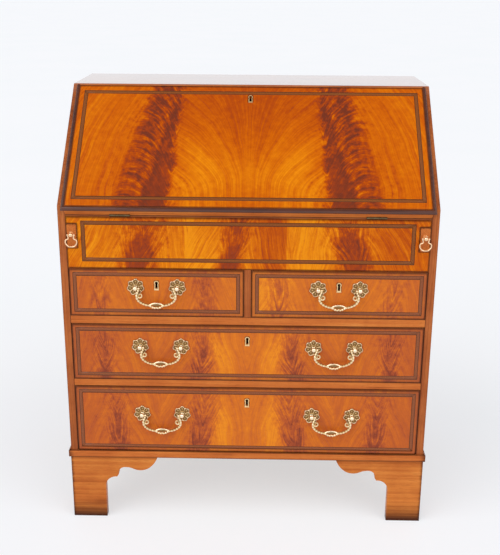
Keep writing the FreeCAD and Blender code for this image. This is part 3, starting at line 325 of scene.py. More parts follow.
def veneer(name, stops, polish, margin=0.0, calm=1.0):
    """Flame veneer, from a leaf's maps: metres across and along the feathers in grain, and along the hairs in hair.

    The flame is the plume with its edge broken by hairs and a mottle. The tone is the leaf's ground, half the
    flame, the mottle, and streaks of three widths, of which the finer two follow the hairs inside a plume and the
    feathers outside it. margin browns the border outside the banding, and calm quiets the finer streaks outside the
    plumes. A plume's core is quiet too.
    """
    material, node, shader = new_material(name)
    place = node("TexCoord").outputs["Object"]
    plume, ground, edge, rim = (node("Attribute", attribute_name=mark).outputs["Fac"]
                                for mark in ("plume", "ground", "edge", "rim"))
    streaks = {}
    for streak, layer, width, length in (("broad", "grain", 42.0, 300.0), ("feather", "grain", 9.0, 130.0),
                                         ("fine feather", "grain", 3.4, 80.0), ("hair", "hair", 5.0, 60.0),
                                         ("fine hair", "hair", 2.4, 40.0)):
        lines = node("UVMap", uv_map=layer)
        drawn = node("Mapping", {"Vector": lines, "Scale": (1 / (width * MM), 1 / (length * MM), 1.0)})
        streaks[streak] = node("TexNoise", {"Vector": drawn, "Scale": 1.0, "Detail": 4.0, "Roughness": 0.6})
    inside = node("MapRange", {"Value": plume, "From Min": 0.12, "From Max": 0.6})
    feather = node("Mix", {0: inside, 2: streaks["feather"], 3: streaks["hair"]})
    fine = node("Mix", {0: inside, 2: streaks["fine feather"], 3: streaks["fine hair"]})
    mottle = node("TexNoise", {"Vector": place, "Scale": 1 / (13 * MM), "Detail": 5.0, "Roughness": 0.7})
    flame = node("Math", (feather, 1.3, plume), operation="MULTIPLY_ADD")
    flame = node("Math", (mottle, 1.1, flame), operation="MULTIPLY_ADD")
    flame = node("MapRange", {"Value": flame, "From Min": 1.35, "From Max": 2.25}, interpolation_type="SMOOTHSTEP")
    tone = node("Math", (flame, 0.5, ground), operation="MULTIPLY_ADD")
    lively = node("MapRange", {"Value": plume, "From Min": 0.1, "From Max": 0.45, "To Min": calm})
    core = node("MapRange", {"Value": plume, "From Min": 0.85, "From Max": 1.1, "To Min": 1.0, "To Max": 0.35})
    lively = node("Math", (lively, core), operation="MULTIPLY")
    for source, share in ((streaks["broad"], 0.55), (feather, 0.8), (fine, 0.7), (mottle, 0.45)):
        swing = node("Math", (source, 0.5), operation="SUBTRACT")
        if source in (feather, fine):
            swing = node("Math", (swing, lively), operation="MULTIPLY")
        tone = node("Math", (swing, share, tone), operation="MULTIPLY_ADD")
    border = node("Math", (rim, BAND_INSET * MM), operation="LESS_THAN")
    border = node("Math", (border, margin), operation="MULTIPLY")
    colour = node("ValToRGB", {"Fac": tone}, stops=stops)
    colour = node("Mix", {0: border, 6: colour, 7: linear(BORDER_BROWN)}, data_type="RGBA").outputs[2]
    # The leaf's edges darken with dirt and with painted shade in the gaps round it, furthest under the part above.
    dirt_and_shade = node("MapRange", {"Value": edge, "From Min": 4.0 * MM, "From Max": 0.8 * MM, "To Max": 0.72},
                interpolation_type="SMOOTHSTEP")
    colour = node("Mix", {0: dirt_and_shade, 6: colour, 7: linear(EDGE_DIRT_AND_SHADE)}, data_type="RGBA").outputs[2]
    finish_wood(node, shader, colour, feather, (0.2, 0.3), fine, strength=0.05, depth=0.1, polish=polish)
    return material


def wander(x, z, seed):
    """A smooth drift in millimetres: four sine waves of random direction, length and phase added up.

    A wave is 45 to 190 mm long and 0.016 of its length high.
    """
    random = np.random.default_rng(seed)
    turn, phase = random.uniform(0, 2 * np.pi, (2, 4))
    length = random.uniform(45, 190, 4)
    reach = 0.016 * length
    waves = [size * np.sin(2 * np.pi * (x * np.cos(way) + z * np.sin(way)) / span + start)
             for size, way, span, start in zip(reach, turn, length, phase)]
    return sum(waves)


def flame_figure(x, z, height, plumes, seed):
    """The figure of flame veneer at points x across and z up a panel: the feathers, the hairs and the plume's depth.

    A plume is (foot, top, width, strength), and q is the distance from its leaning middle line. A feather is a line
    of equal z + 0.6 q ^ 1.3, which falls away from that line and turns steep. A hair is a line of equal z - 3.2 q,
    which rises from it. The depth is exp(-(q / width) ^ 2), fading and widening up the panel. A point takes its lines
    from its nearest plume.
    """
    x = x + wander(x, z, seed)
    foot, top, width, strength = (np.array(values)[:, None, None] for values in zip(*plumes))
    share = z / height
    q = np.abs(x - foot - (top - foot) * share)
    depth = (strength * (1.25 - 0.6 * share) * np.exp(-(q / (width * (0.75 + 0.6 * share))) ** 2)).max(axis=0)
    start = 37 * np.abs(foot[:, 0, 0])[q.argmin(axis=0)]
    q = q.min(axis=0)
    drift = wander(q, z, seed + 1)
    feather = np.stack([(z + 0.6 * (q * q + 1) ** 0.65 + 0.8 * drift) / 2.4, 0.4 * q - 0.9 * z + start], axis=-1)
    hair = np.stack([(z - 3.2 * q) / 3.4 + drift, (3.2 * z + q) / 3.4 + start], axis=-1)
    return feather, hair, depth


def even_lines(low, high, step, extra=()):
    """Lines from low to high no further apart than step, with the extra lines put in."""
    lines = np.linspace(low, high, int(np.ceil((high - low) / step)) + 1)
    return np.unique(np.concatenate([lines, np.array(extra, dtype=float)]))


def upright_face(x, z, out):
    """Points of an upright front: x across, z up, and out in front of the carcase's front plane."""
    return np.stack([x, FRONT - out + 0 * x, z], axis=-1)


GOLD_STOPS = ((0.0, "#e68d0a"), (0.2, "#d77602"), (0.4, "#c45c00"), (0.6, "#ac4504"), (0.8, "#913916"),
              (1.0, "#70301c"))
gold_veneer = veneer("golden flame mahogany veneer, French polished", GOLD_STOPS, 0.1)


def veneer_leaf(name, place, x_limits, z_limits, plumes, cuts, material, body, out=0.0, mirror=False, tone=0.3,
                patches=(), joints=(), seed=1, figure=flame_figure):
    """A thin leaf of flame veneer over a panel, with openings cut out, glued on by its back.

    A mirrored leaf takes its figure from the distance to the middle line, as two leaves cut in sequence and opened
    like a book do. tone is its ground, and each patch (x, share of height, reach across, reach up, amount) shifts it.
    A joint (x, reach, amount) shifts the ground most just right of that x, where the next leaf starts, and less
    further on. figure gives the feathers, the hairs and the plume's depth. The dark edge is dirt and painted shade in
    the gaps round the leaf, and reaches furthest in from the top, as painted shadow under the part above.
    """
    x_lines = even_lines(*x_limits, LEAF_STEP, [limit for cut in cuts for limit in cut[0]]
                         + [joint[0] + side for joint in joints for side in (-0.2, 0.2)])
    z_lines = even_lines(*z_limits, LEAF_STEP, [limit for cut in cuts for limit in cut[1]])
    x, z = np.meshgrid(x_lines, z_lines)
    keep = np.ones((len(z_lines) - 1, len(x_lines) - 1), dtype=bool)
    middle_x = (x[1:, 1:] + x[:-1, :-1]) / 2
    middle_z = (z[1:, 1:] + z[:-1, :-1]) / 2
    rim = np.minimum(np.minimum(x - x_limits[0], x_limits[1] - x), np.minimum(z - z_limits[0], z_limits[1] - z))
    # From the top the darkening reaches 1/0.6 as far: painted shadow under the part above.
    edge = np.minimum(rim, 0.6 * (z_limits[1] - z))
    for (left, right), (low, high) in cuts:
        keep &= ~((middle_x > left) & (middle_x < right) & (middle_z > low) & (middle_z < high))
        beside = np.maximum(np.maximum(left - x, x - right), 0)
        above = np.maximum(np.maximum(low - z, z - high), 0)
        edge = np.minimum(edge, np.hypot(beside, above))
    height = z_limits[1] - z_limits[0]
    share = (z - z_limits[0]) / height
    source = np.abs(x) if mirror else x
    feather, hair, depth = figure(source, share * height, height, plumes, seed)
    ground = np.full(x.shape, tone)
    for centre, level, reach, rise, amount in patches:
        ground = ground + amount * np.exp(-((source - centre) / reach) ** 2 - ((share - level) / rise) ** 2)
    for start, reach, amount in joints:
        ground = ground + amount * (x > start) * np.exp(-np.maximum(x - start, 0) / reach)
    marks = {"grain": feather.reshape(-1, 2) * MM, "hair": hair.reshape(-1, 2) * MM, "plume": depth.ravel(),
             "ground": ground.ravel(), "edge": edge.ravel() * MM, "rim": rim.ravel() * MM}
    add_piece(name, [(place(x, z, out + VENEER_PROUD), False, keep)], material, body,
              marks=marks, skin=VENEER_PROUD)


# A feather band's strip: a dark line at each edge, and between them slips of paler wood set on the slant both ways.
# The slips are 3 mm apart, wider than the real ones, so that they show.
SLIP = 3.0
BAND_LINE = "#2c140a"


def banding(name, dark, pale):
    """Inlaid feather banding with slips of two colours, from a strip's map: metres along it and its share across it.

    The slips are waves along the strip, shifted by 1.3 slips between its middle and its edges, so they meet in
    points, and a dark line runs along each edge.
    """
    material, node, shader = new_material(name)
    along, across = node("SeparateXYZ", (node("UVMap", uv_map="band"),)).outputs[:2]
    middle = node("Math", (across, 0.5), operation="SUBTRACT")
    middle = node("Math", (middle,), operation="ABSOLUTE")
    slant = node("Math", (middle, 2.6 * SLIP * MM, along), operation="MULTIPLY_ADD")
    turns = node("Math", (slant, 2 * np.pi / (SLIP * MM)), operation="MULTIPLY")
    slips = node("Math", (turns,), operation="SINE")
    share = node("MapRange", {"Value": slips, "From Min": -1.0})
    colour = node("ValToRGB", {"Fac": share}, stops=((0.3, dark), (0.7, pale)))
    line = node("MapRange", {"Value": middle, "From Min": 0.37, "From Max": 0.4})
    colour = node("Mix", {0: line, 6: colour, 7: linear(BAND_LINE)}, data_type="RGBA").outputs[2]
    gloss = node("MapRange", {"Value": share, "To Min": 0.25, "To Max": 0.33})
    feed(shader, {"Base Color": colour, "Roughness": gloss, "Specular IOR Level": 0.25})
    return material


golden_banding = banding("inlaid feather banding, golden", "#6c3512", "#945218")
brown_banding = banding("inlaid feather banding, brown", "#723b23", "#9a5830")


def band_frame(name, place, x_limits, z_limits, width, material, body, out=0.0):
    """An inlaid frame of banding, mitred at its corners: four strips, each from its outer to its inner edge."""
    left, right = x_limits
    low, high = z_limits
    outer = np.array([(left, low), (right, low), (right, high), (left, high)], dtype=float)
    inner = np.array([(left + width, low + width), (right - width, low + width), (right - width, high - width),
                      (left + width, high - width)])
    grids = []
    bands = []
    share = np.linspace(0, 1, 40)[None, :, None]
    for corner in range(4):
        after = (corner + 1) % 4
        outside = outer[corner] + share * (outer[after] - outer[corner])
        inside = inner[corner] + share * (inner[after] - inner[corner])
        strip = np.concatenate([outside, inside])
        grids.append((place(strip[..., 0], strip[..., 1], out + BAND_PROUD), False, None))
        length = np.abs(strip - outer[corner]).max(axis=-1)
        level = np.broadcast_to(np.array([[0.0], [1.0]]), length.shape)
        bands.append(np.stack([length * MM, level], axis=-1).reshape(-1, 2))
    add_piece(name, grids, material, body, marks={"band": np.concatenate(bands)},
              skin=BAND_PROUD)


FRIEZE_HALF = 402.9
FRIEZE_Z = (636.2, 755.6)
LOPER_NOTCH_X = 379.0
LOPER_NOTCH_Z = (683.4, 738.5)
FRIEZE_BAND_X = (-370, 370)
FRIEZE_BAND_Z = (652, 745.5)
WIDE_BAND = 9.0
FRIEZE_PLUMES = ((-252, -222, 46, 0.95), (-40, -22, 34, 1.0), (238, 218, 44, 0.95))
FRIEZE_PATCHES = ((-131, 0.5, 45, 2, -0.14), (140, 0.5, 35, 2, -0.14), (-340, 0.5, 60, 2, -0.08),
                  (335, 0.5, 55, 2, 0.2), (60, 0.5, 50, 2, 0.2))
FRIEZE_JOINTS = ((-141, 60, -0.14), (86, 60, -0.22))
veneer_leaf("frieze_veneer", upright_face, (-FRIEZE_HALF, FRIEZE_HALF), FRIEZE_Z, FRIEZE_PLUMES,
            [((-FRIEZE_HALF, -LOPER_NOTCH_X), LOPER_NOTCH_Z), ((LOPER_NOTCH_X, FRIEZE_HALF), LOPER_NOTCH_Z)],
            gold_veneer, "carcase", tone=0.3, patches=FRIEZE_PATCHES, joints=FRIEZE_JOINTS, seed=5)
band_frame("frieze_banding", upright_face, FRIEZE_BAND_X, FRIEZE_BAND_Z, WIDE_BAND, golden_banding, "carcase")


# The lopers: two mahogany bars that draw out to carry the open fall, each with a turned brass stud in its end.
# A cast ring hangs from the stud on two pintles. The brass is lacquered, and dulled where fingers don't rub it.
def brass_finish(name, stops):
    """Brass whose tone runs along the stops as its surface dulls: it darkens with patina in its hollows and with
    painted shade where a piece marks it, and with soft clouds.
    """
    material, node, shader = new_material(name)
    place = node("TexCoord").outputs["Object"]
    patina_and_shade = node("Attribute", attribute_name="patina_and_shade").outputs["Fac"]
    cloud = node("TexNoise", {"Vector": place, "Scale": 1 / (5 * MM), "Detail": 3.0})
    dull = node("Math", (cloud, 0.35, patina_and_shade), operation="MULTIPLY_ADD")
    colour = node("ValToRGB", {"Fac": dull}, stops=stops)
    gloss = node("MapRange", {"Value": dull, "To Min": 0.2, "To Max": 0.5})
    feed(shader, {"Base Color": colour, "Roughness": gloss, "Metallic": 1.0})
    return material


brass = brass_finish("cast brass, lacquered and worn bright",
                     ((0.12, "#fff1d2"), (0.35, "#fadfaf"), (0.7, "#cca872"), (1.0, "#99764a")))
dark_brass = brass_finish("old brass, darkened", ((0.1, "#7d6a4c"), (0.3, "#54432f")))
warm_brass = brass_finish("turned brass, lacquered", ((0.1, "#ffdcb4"), (0.3, "#efc698")))
dress(warm_brass, "loper_stud_left", "loper_stud_right", "loper_ring_left", "loper_ring_right")
LOPER_TOP = 737.7
LOPER_FACES = (402.5, 379.5)
# Painted shade darkens a loper's end along its top, under the frieze's notch, and along its sides, in the gaps beside
# it.
LOPER_GAP_SHADE = [(2, LOPER_TOP, 4.0)] + [(0, side * face, 2.5) for face in LOPER_FACES for side in (-1, 1)]
mahogany_loper = timber("French polished mahogany, lopers", 1, RAIL_STOPS, polish=0.12, grime_and_shade=LOPER_GAP_SHADE)
dress(mahogany_loper, "loper_left", "loper_right")
soften(0.6, "loper_left", "loper_right")


# The drawer fronts: mahogany boards faced with flame veneer, with a frame of feather banding near the edge.
# The two long fronts are book-matched about their middle. Each has a lock in its back and a brass keyhole plate.
# A drawer's row has its limits across and up, its plumes, whether it is book-matched, its ground tone and its seed.
LONG_X = (-401.8, 401.8)
SHORT_Z = (523.3, 634.6)
UPPER_Z = (366.3, 502.1)
LOWER_Z = (LOWER_DRAWER_FOOT, 347.1)
DRAWERS = {
    "short_drawer_left": ((-401.8, -8.7), SHORT_Z, ((-332, -330, 30, 0.55), (-96, -100, 32, 0.66)), False, 0.38, 11),
    "short_drawer_right": ((8.7, 401.8), SHORT_Z, ((70, 64, 32, 0.66), (322, 326, 30, 0.55)), False, 0.38, 12),
    "upper_drawer": (LONG_X, UPPER_Z, ((116, 94, 34, 0.75), (330, 326, 32, 0.68)), True, 0.46, 13),
    "lower_drawer": (LONG_X, LOWER_Z, ((118, 88, 38, 0.78), (302, 306, 34, 0.68)), True, 0.46, 14),
}
DRAWER_PATCHES = ((55, 0.4, 45, 0.6, -0.28), (400, 0.3, 60, 1, 0.16), (-400, 0.3, 60, 1, 0.16))
FLAME_STOPS = ((0.0, "#e78e1c"), (0.25, "#d4741e"), (0.5, "#be5f24"), (0.75, "#a84f29"), (1.0, "#823b27"))
front_veneer = veneer("flame mahogany veneer, French polished", FLAME_STOPS, 0.12, margin=0.4, calm=0.6)
KEYHOLE_DROP = 32.0
KEYHOLE_DEPTH = 19.0
KEYHOLE_REACH = 14.5
KEYHOLE_HALF = 3.6
KEYHOLE_BELOW = 13.6
KEYHOLE_ABOVE = 4.0
KEYHOLE_SHADE = "#0d0805"
BAND_WIDTH = 8.5


def lock_brass(name, outward, keyhole):
    """Brass of a lock and its keyhole plate, with painted shade inside the keyhole.

    outward is the direction of the face it is let into, and keyhole the keyhole's place on that face in millimetres.
    A point is inside if it lies 0.3 mm or more below the face, above the lock's back and within KEYHOLE_REACH of the
    keyhole's axis.
    """
    material, node, shader = new_material(name)
    place = node("TexCoord").outputs["Object"]
    away = node("VectorMath", (place, np.array(keyhole) * MM), operation="SUBTRACT")
    level = node("VectorMath", (away, outward), operation="DOT_PRODUCT").outputs["Value"]
    foot = node("VectorMath", {0: outward, "Scale": level}, operation="SCALE")
    beside = node("VectorMath", (away, foot), operation="DISTANCE").outputs["Value"]
    # Painted shade: the inside of the keyhole is coloured near black.
    near = node("Math", (beside, KEYHOLE_REACH * MM), operation="LESS_THAN")
    under = node("Math", (level, -0.3 * MM), operation="LESS_THAN")
    over = node("Math", (level, -KEYHOLE_DEPTH * MM), operation="GREATER_THAN")
    dark = node("Math", (near, under), operation="MULTIPLY")
    dark = node("Math", (dark, over), operation="MULTIPLY")
    cloud = node("TexNoise", {"Vector": place, "Scale": 1 / (4 * MM), "Detail": 3.0})
    plate = node("ValToRGB", {"Fac": cloud}, stops=((0.3, "#eec587"), (0.7, "#ffe2ae")))
    colour = node("Mix", {0: dark, 6: plate, 7: linear(KEYHOLE_SHADE)}, data_type="RGBA").outputs[2]
    gloss = node("MapRange", {"Value": cloud, "To Min": 0.25, "To Max": 0.5})
    feed(shader, {"Base Color": colour, "Roughness": gloss, "Metallic": 1.0})
    return material


for drawer, (x_limits, z_limits, plumes, mirror, tone, seed) in DRAWERS.items():
    key_x = sum(x_limits) / 2
    key_z = z_limits[1] - KEYHOLE_DROP
    keyhole = ((key_x - KEYHOLE_HALF, key_x + KEYHOLE_HALF), (key_z - KEYHOLE_BELOW, key_z + KEYHOLE_ABOVE))
    veneer_leaf(drawer + "_veneer", upright_face, x_limits, z_limits, plumes, [keyhole], front_veneer, drawer,
                mirror=mirror, tone=tone, patches=DRAWER_PATCHES, seed=seed)
    band_frame(drawer + "_banding", upright_face, (x_limits[0] + BAND_INSET, x_limits[1] - BAND_INSET),
               (z_limits[0] + BAND_INSET, z_limits[1] - BAND_INSET), BAND_WIDTH, brown_banding, drawer)
    dress(mahogany_across, drawer + "_front")
    dress(lock_brass("brass lock, " + drawer, (0, -1, 0), (key_x, FRONT, key_z)), drawer + "_lock")
    dress(brass, drawer + "_bolt")


# The drawer boxes: thin oak sides dovetailed into the front, an oak back, and a bottom that slides in grooves.
# The oak is planed and left bare, a pale brown that has dulled, with long open pores.
OAK_STOPS = ((0.25, "#7d5a34"), (0.42, "#a88153"), (0.58, "#bb9766"), (0.78, "#cdae80"))
bare_oak = timber("bare oak, drawer sides", 1, OAK_STOPS, band=22, streak=2.6, pore=0.9, roughness=(0.5, 0.68),
                  polish=0.25)
for drawer in DRAWERS:
    dress(bare_oak, drawer + "_box")


# The drop handles: two cast rosettes, two posts with ball heads, and a bail that swings between them on each.
# A post goes through its rosette and the drawer front to a nut inside. The bail is cast with scrolled ends and a
# leaf. The openwork of the rosettes is shown as dark hollows of painted shade, with patina, and the opening in each
# bail's grip is filled with a dark web of painted shade.
HANDLE_HALF = 47.0
POST_REACH = 12.0
POST_BALL = 5.5
FRONT_THICKNESS = 20.0
ROD_SIDES = 12
ARM_LENGTH = 66
BEAD_PITCH = 7


def revolve(profile, x, z, sides):
    """A turned shape about a line through the front: each (radius, out) of the profile carried round a circle."""
    radius, out = np.array(profile, dtype=float).T[:, :, None]
    turn = np.linspace(0, 2 * np.pi, sides, endpoint=False)[None, :]
    return np.stack([x + radius * np.sin(turn), FRONT - out + 0 * turn, z + radius * np.cos(turn)], axis=-1)


def rosette(x, z):
    """A seven-petalled flower as height over rings and turns, with each point's share of patina and painted shade.

    The outline is 19.0 + 1.7 cos 7t. The height is the greatest of a rim, the spokes between the petals, a leaf in
    each petal, and a collar round the post, each a bell curve, and the last ring closes its back. The rim is worn
    brightest, and dirt stays on the spokes and the collar. The low ground between them is dark with patina and with
    painted shade that stands for the openwork.
    """
    ring = np.linspace(0, 1, 48)[:, None]
    turn = np.linspace(0, 2 * np.pi, 196, endpoint=False)[None, :]
    petal = 0.5 + 0.5 * np.cos(7 * turn)
    rim = 2.6 * np.exp(-((ring - 0.915) / 0.055) ** 2)
    spokes = 2.2 * np.exp(-(petal / 0.1) ** 2) * np.clip((ring - 0.3) / 0.1, 0, 1)
    leaves = 1.3 * np.exp(-((ring - 0.6) / 0.12) ** 2) * np.exp(-((petal - 1) / 0.12) ** 2)
    collar = 2.8 * np.exp(-((ring - 0.34) / 0.07) ** 2)
    height = 0.5 + np.maximum(np.maximum(rim, spokes), np.maximum(leaves, collar))
    bright = np.maximum(np.maximum(rim, 0.7 * spokes), np.maximum(leaves, 0.4 * collar))
    patina_and_shade = 1 - np.clip(bright / 2.1, 0, 1)
    height = height * np.clip((1 - ring) / 0.03, 0, 1)
    radius = ring * (19.0 + 1.7 * np.cos(7 * turn))
    front_side = np.stack([x + radius * np.sin(turn), FRONT - height, z + radius * np.cos(turn)], axis=-1)
    back_centre = np.broadcast_to(np.array([x, FRONT, z]), front_side[:1].shape)
    return np.concatenate([front_side, back_centre]), np.concatenate([patina_and_shade, patina_and_shade[:1] * 0 + 1])


def sweep(path, radius, flat):
    """A rod in an upright plane: a circle of that radius at each point of the path, closed by points at its ends.

    The circle lies across the path, spanned by the path's normal in the plane and by the line out of the plane, and
    flat squeezes it along that line.
    """
    way = np.gradient(path, axis=0)
    way = way / np.linalg.norm(way, axis=1, keepdims=True)
    radius = np.concatenate([[0.0], np.broadcast_to(radius, len(path)), [0.0]])
    path, way = (np.concatenate([line[:1], line, line[-1:]]) for line in (path, way))
    normal = np.stack([way[:, 2], 0 * way[:, 0], -way[:, 0]], axis=-1)
    turn = np.linspace(0, 2 * np.pi, ROD_SIDES, endpoint=False)[None, :, None]
    outward = np.array([0.0, 1.0, 0.0]) * flat
    return path[:, None] + radius[:, None, None] * (np.cos(turn) * normal[:, None] + np.sin(turn) * outward)


def smooth_line(points, count):
    """A smooth line through points, in cubics: the slope at a point is half the step between its two neighbours."""
    points = np.array(points, dtype=float)
    padded = np.concatenate([2 * points[:1] - points[1:2], points, 2 * points[-1:] - points[-2:-1]])
    span = np.linspace(0, len(points) - 1, count)
    index = np.minimum(span.astype(int), len(points) - 2)
    t = (span - index)[:, None]
    a, b, c, d = (padded[index + step] for step in range(4))
    return 0.5 * (2 * b + (c - a) * t + (2 * a - 5 * b + 4 * c - d) * t ** 2 + (3 * b - a - 3 * c + d) * t ** 3)


def bail_grids(x, z):
    """The bail's rods: two arms, two scrolls, and the arch and leaf of the grip, with each point's share of patina
    and painted shade.

    An arm swells at its bend and is beaded every 7 mm. Patina darkens the grooves between the beads and between
    the leaf's lobes, and patina and painted shade darken the scrolls towards their centres. Painted shade darkens
    the inner side of the arms, and the thin web between the arch and the leaf is dark all over, painted shade in
    the opening.
    """
    rods = []

    def rod(line, radius, depth=0.05, flat=1.0, inner=0):
        """Sweeps one rod along a line of places beside and above the bail's middle.

        depth is how dark it is with patina and painted shade, flat squeezes it, and inner is the sign of its side
        darkened with painted shade, or 0.
        """
        path = np.stack([x + line[:, 0], np.full(len(line), FRONT - POST_REACH), z + line[:, 1]], axis=-1)
        patina_and_shade_levels = np.pad(np.broadcast_to(depth, len(line)), 1, mode="edge")[:, None]
        turn = np.linspace(0, 2 * np.pi, ROD_SIDES, endpoint=False)
        # Painted shade on the inner side: darker as the angle round the rod turns towards inner.
        rods.append((sweep(path, radius, flat), patina_and_shade_levels + 0.7 * np.clip(inner * np.cos(turn), 0, 1)))

    for side in (-1, 1):
        arm = smooth_line([(38.6, 0), (40.0, -6), (42.8, -13), (43.4, -20.5), (40.6, -27.5), (35.2, -33),
                           (28.2, -36.8), (21, -39.0), (14, -39.6)], 90)
        length = np.linspace(0, ARM_LENGTH, 90)
        bead = np.cos(2 * np.pi * length / BEAD_PITCH)
        thick = 2.6 + 0.9 * np.exp(-((length - 27) / 11) ** 2) + 0.45 * bead
        rod(arm * (side, 1), thick, 0.05 + 0.28 * (0.5 - 0.5 * bead) ** 2, inner=side)
        turn = np.linspace(0, 1, 60)
        angle = np.pi * (0.1 - 2.35 * turn)
        reach = 6.2 - 4.0 * turn
        curl = np.stack([36.6 + reach * np.cos(angle), -16.5 + reach * np.sin(angle)], axis=-1)
        rod(curl * (side, 1), 2.1 - 0.6 * turn + 0.9 * np.exp(-((turn - 1) / 0.06) ** 2), 0.05 + 0.5 * turn)
        pintle = np.stack([np.linspace(45.2, 38.0, 6), np.zeros(6)], axis=-1)
        rod(pintle * (side, 1), 1.45)
        knuckle = np.stack([np.linspace(41.0, 36.2, 9), np.zeros(9)], axis=-1)
        rod(knuckle * (side, 1), 2.4 * np.sqrt(1 - np.linspace(-0.98, 0.98, 9) ** 2))
    arch = smooth_line([(-16, -39.6), (-9, -35.9), (0, -34.4), (9, -35.9), (16, -39.6)], 60)
    leaf = smooth_line([(-16, -39.6), (-10, -43.6), (-4, -45.8), (0, -45.2), (4, -45.8), (10, -43.6), (16, -39.6)],
                       80)
    beads = np.abs(np.sin(np.linspace(0, 7 * np.pi, 80)))
    rod(arch, 1.9, flat=1.2)
    rod(leaf, 1.6 + 1.0 * beads, 0.05 + 0.5 * (1 - beads), 1.1)
    # The web is painted shade in the opening between the arch and the leaf: it is dark all over.
    web = smooth_line([(-10, -39.8), (0, -39.4), (10, -39.8)], 30)
    rod(web, 0.5 + 2.3 * np.sin(np.linspace(0.1, np.pi - 0.1, 30)), 1.0, 0.4)
    return rods


HANDLES = {
    "short_drawer_left": ((-205.25, 593.0, "short_drawer_left_bail"),),
    "short_drawer_right": ((205.25, 593.0, "short_drawer_right_bail"),),
    "upper_drawer": ((-199.0, 450.0, "upper_drawer_left_bail"), (199.0, 450.0, "upper_drawer_right_bail")),
    "lower_drawer": ((-199.0, 279.0, "lower_drawer_left_bail"), (199.0, 279.0, "lower_drawer_right_bail")),
}
BALL_TURNS = np.linspace(-0.9, np.pi / 2, 14)
POST_PROFILE = [(0, 0.2), (4.6, 0.2), (4.6, 3.6), (3.4, 4.4), (2.9, 5.2), (2.9, 6.0), (3.5, 6.6)]
POST_PROFILE += [(POST_BALL * np.cos(turn), POST_REACH + POST_BALL * np.sin(turn)) for turn in BALL_TURNS]
INSIDE = -FRONT_THICKNESS
NUT_PROFILE = [(0, INSIDE), (5.5, INSIDE), (5.5, INSIDE - 4.0), (0, INSIDE - 4.0)]
END_PROFILE = [(0, INSIDE), (2.5, INSIDE), (2.5, INSIDE - 5.0), (2.0, INSIDE - 5.5), (0, INSIDE - 5.5)]
for drawer, handles in HANDLES.items():
    mounts = []
    mount_patina_and_shade = []
    for x, z, bail in handles:
        for side in (-1, 1):
            post_x = x + side * HANDLE_HALF
            flower, patina_and_shade = rosette(post_x, z)
            turned = [revolve(POST_PROFILE, post_x, z, 28), revolve(NUT_PROFILE, post_x, z, 6),
                      revolve(END_PROFILE, post_x, z, 20)]
            mounts += [flower] + turned
            mount_patina_and_shade += [patina_and_shade.ravel()] + [np.zeros(grid.shape[0] * grid.shape[1]) for grid in turned]
        rods = bail_grids(x, z)
        patina_and_shade_levels = [depth.ravel() for grid, depth in rods]
        add_piece(bail + "_cast", [(grid, True, None) for grid, depth in rods], brass, bail, (bail,),
                  {"patina_and_shade": np.concatenate(patina_and_shade_levels)})
    add_piece(drawer + "_rosettes", [(grid, True, None) for grid in mounts], brass, drawer,
              (drawer + "_handle_mounts",), {"patina_and_shade": np.concatenate(mount_patina_and_shade)})


# The fall: a mahogany board that hinges down to make the writing surface, with a rounded bead round its edge.
# Its outer face has two leaves of flame veneer opened like a book, and one frame of feather banding.
# A brass lock is let in near its top edge, and two old brass hinges join its foot to the writing bed.
SLOPE = np.radians(43.25)
FALL_THICKNESS = 21.0
FALL_X = (-403, 403)
FALL_UP = (8.6, 349.0)
FALL_BAND_X = (-390, 390)
FALL_BAND_UP = (27, 333)
FALL_KEYHOLE_UP = 316.4
FALL_KEYHOLE_HALF = 4.0


def fall_face(x, up, out):
    """Points on the closed fall: x across, up the slope from the hinge line, and out from its inner face."""
    depth = up * np.cos(SLOPE) - out * np.sin(SLOPE)
    return np.stack([x, FRONT + depth, BED_TOP + up * np.sin(SLOPE) + out * np.cos(SLOPE)], axis=-1)


def fall_figure(x, z, height, plumes, seed):
    """The figure of the fall's leaves at points x from the middle line and z up: feathers, hairs and depth.

    q is how far out a point lies from the plume's leaning middle line, and s its share of the height. On the inner
    side of that line a feather is one of a fan of lines, of equal x / (1 + 9 s ^ 2.5), which leave the foot of the
    middle line close together. On the outer side it is a line of equal x + 92 s ^ 2. Both arch over towards the
    plume. A hair is a line of equal z - 2.4 r + 0.013 r ^ 2, r being the distance from the core's inner edge, so it
    rises and droops. The depth is the greatest of a core that tapers upwards, a fringe outside the core and a haze
    inside its foot.
    """
    foot, top, width, strength = plumes[0]
    x = np.abs(x + 0.5 * wander(x, z, seed))
    share = z / height
    q = x - foot - (top - foot) * share
    drift = 0.4 * wander(q, z, seed + 1)
    fan = 100 * np.log(1 + x / (1 + 9 * share ** 2.5) / 10)
    feather = np.stack([np.where(q < 0, fan, 500 + x + 92 * share ** 2) + drift, 0.45 * z], axis=-1)
    half = width * (1 - 0.75 * share)
    r = np.abs(q + half)
    hair = np.stack([(z - 2.4 * r + 0.013 * r * r) / 2.2 + drift, (r + 1.6 * z) / 1.9], axis=-1)
    core = np.clip((q + half + 16) / 28, 0, 1) * np.clip((half + 24 - q) / 36, 0, 1)
    fringe = 0.66 * np.exp(-((q - half - 24) / 46) ** 2)
    haze = 0.35 * np.exp(-((q + half + 22) / 26) ** 2 - (share / 0.3) ** 2)
    return feather, hair, np.maximum(strength * (1 - 0.35 * share) * core, np.maximum(fringe, haze))


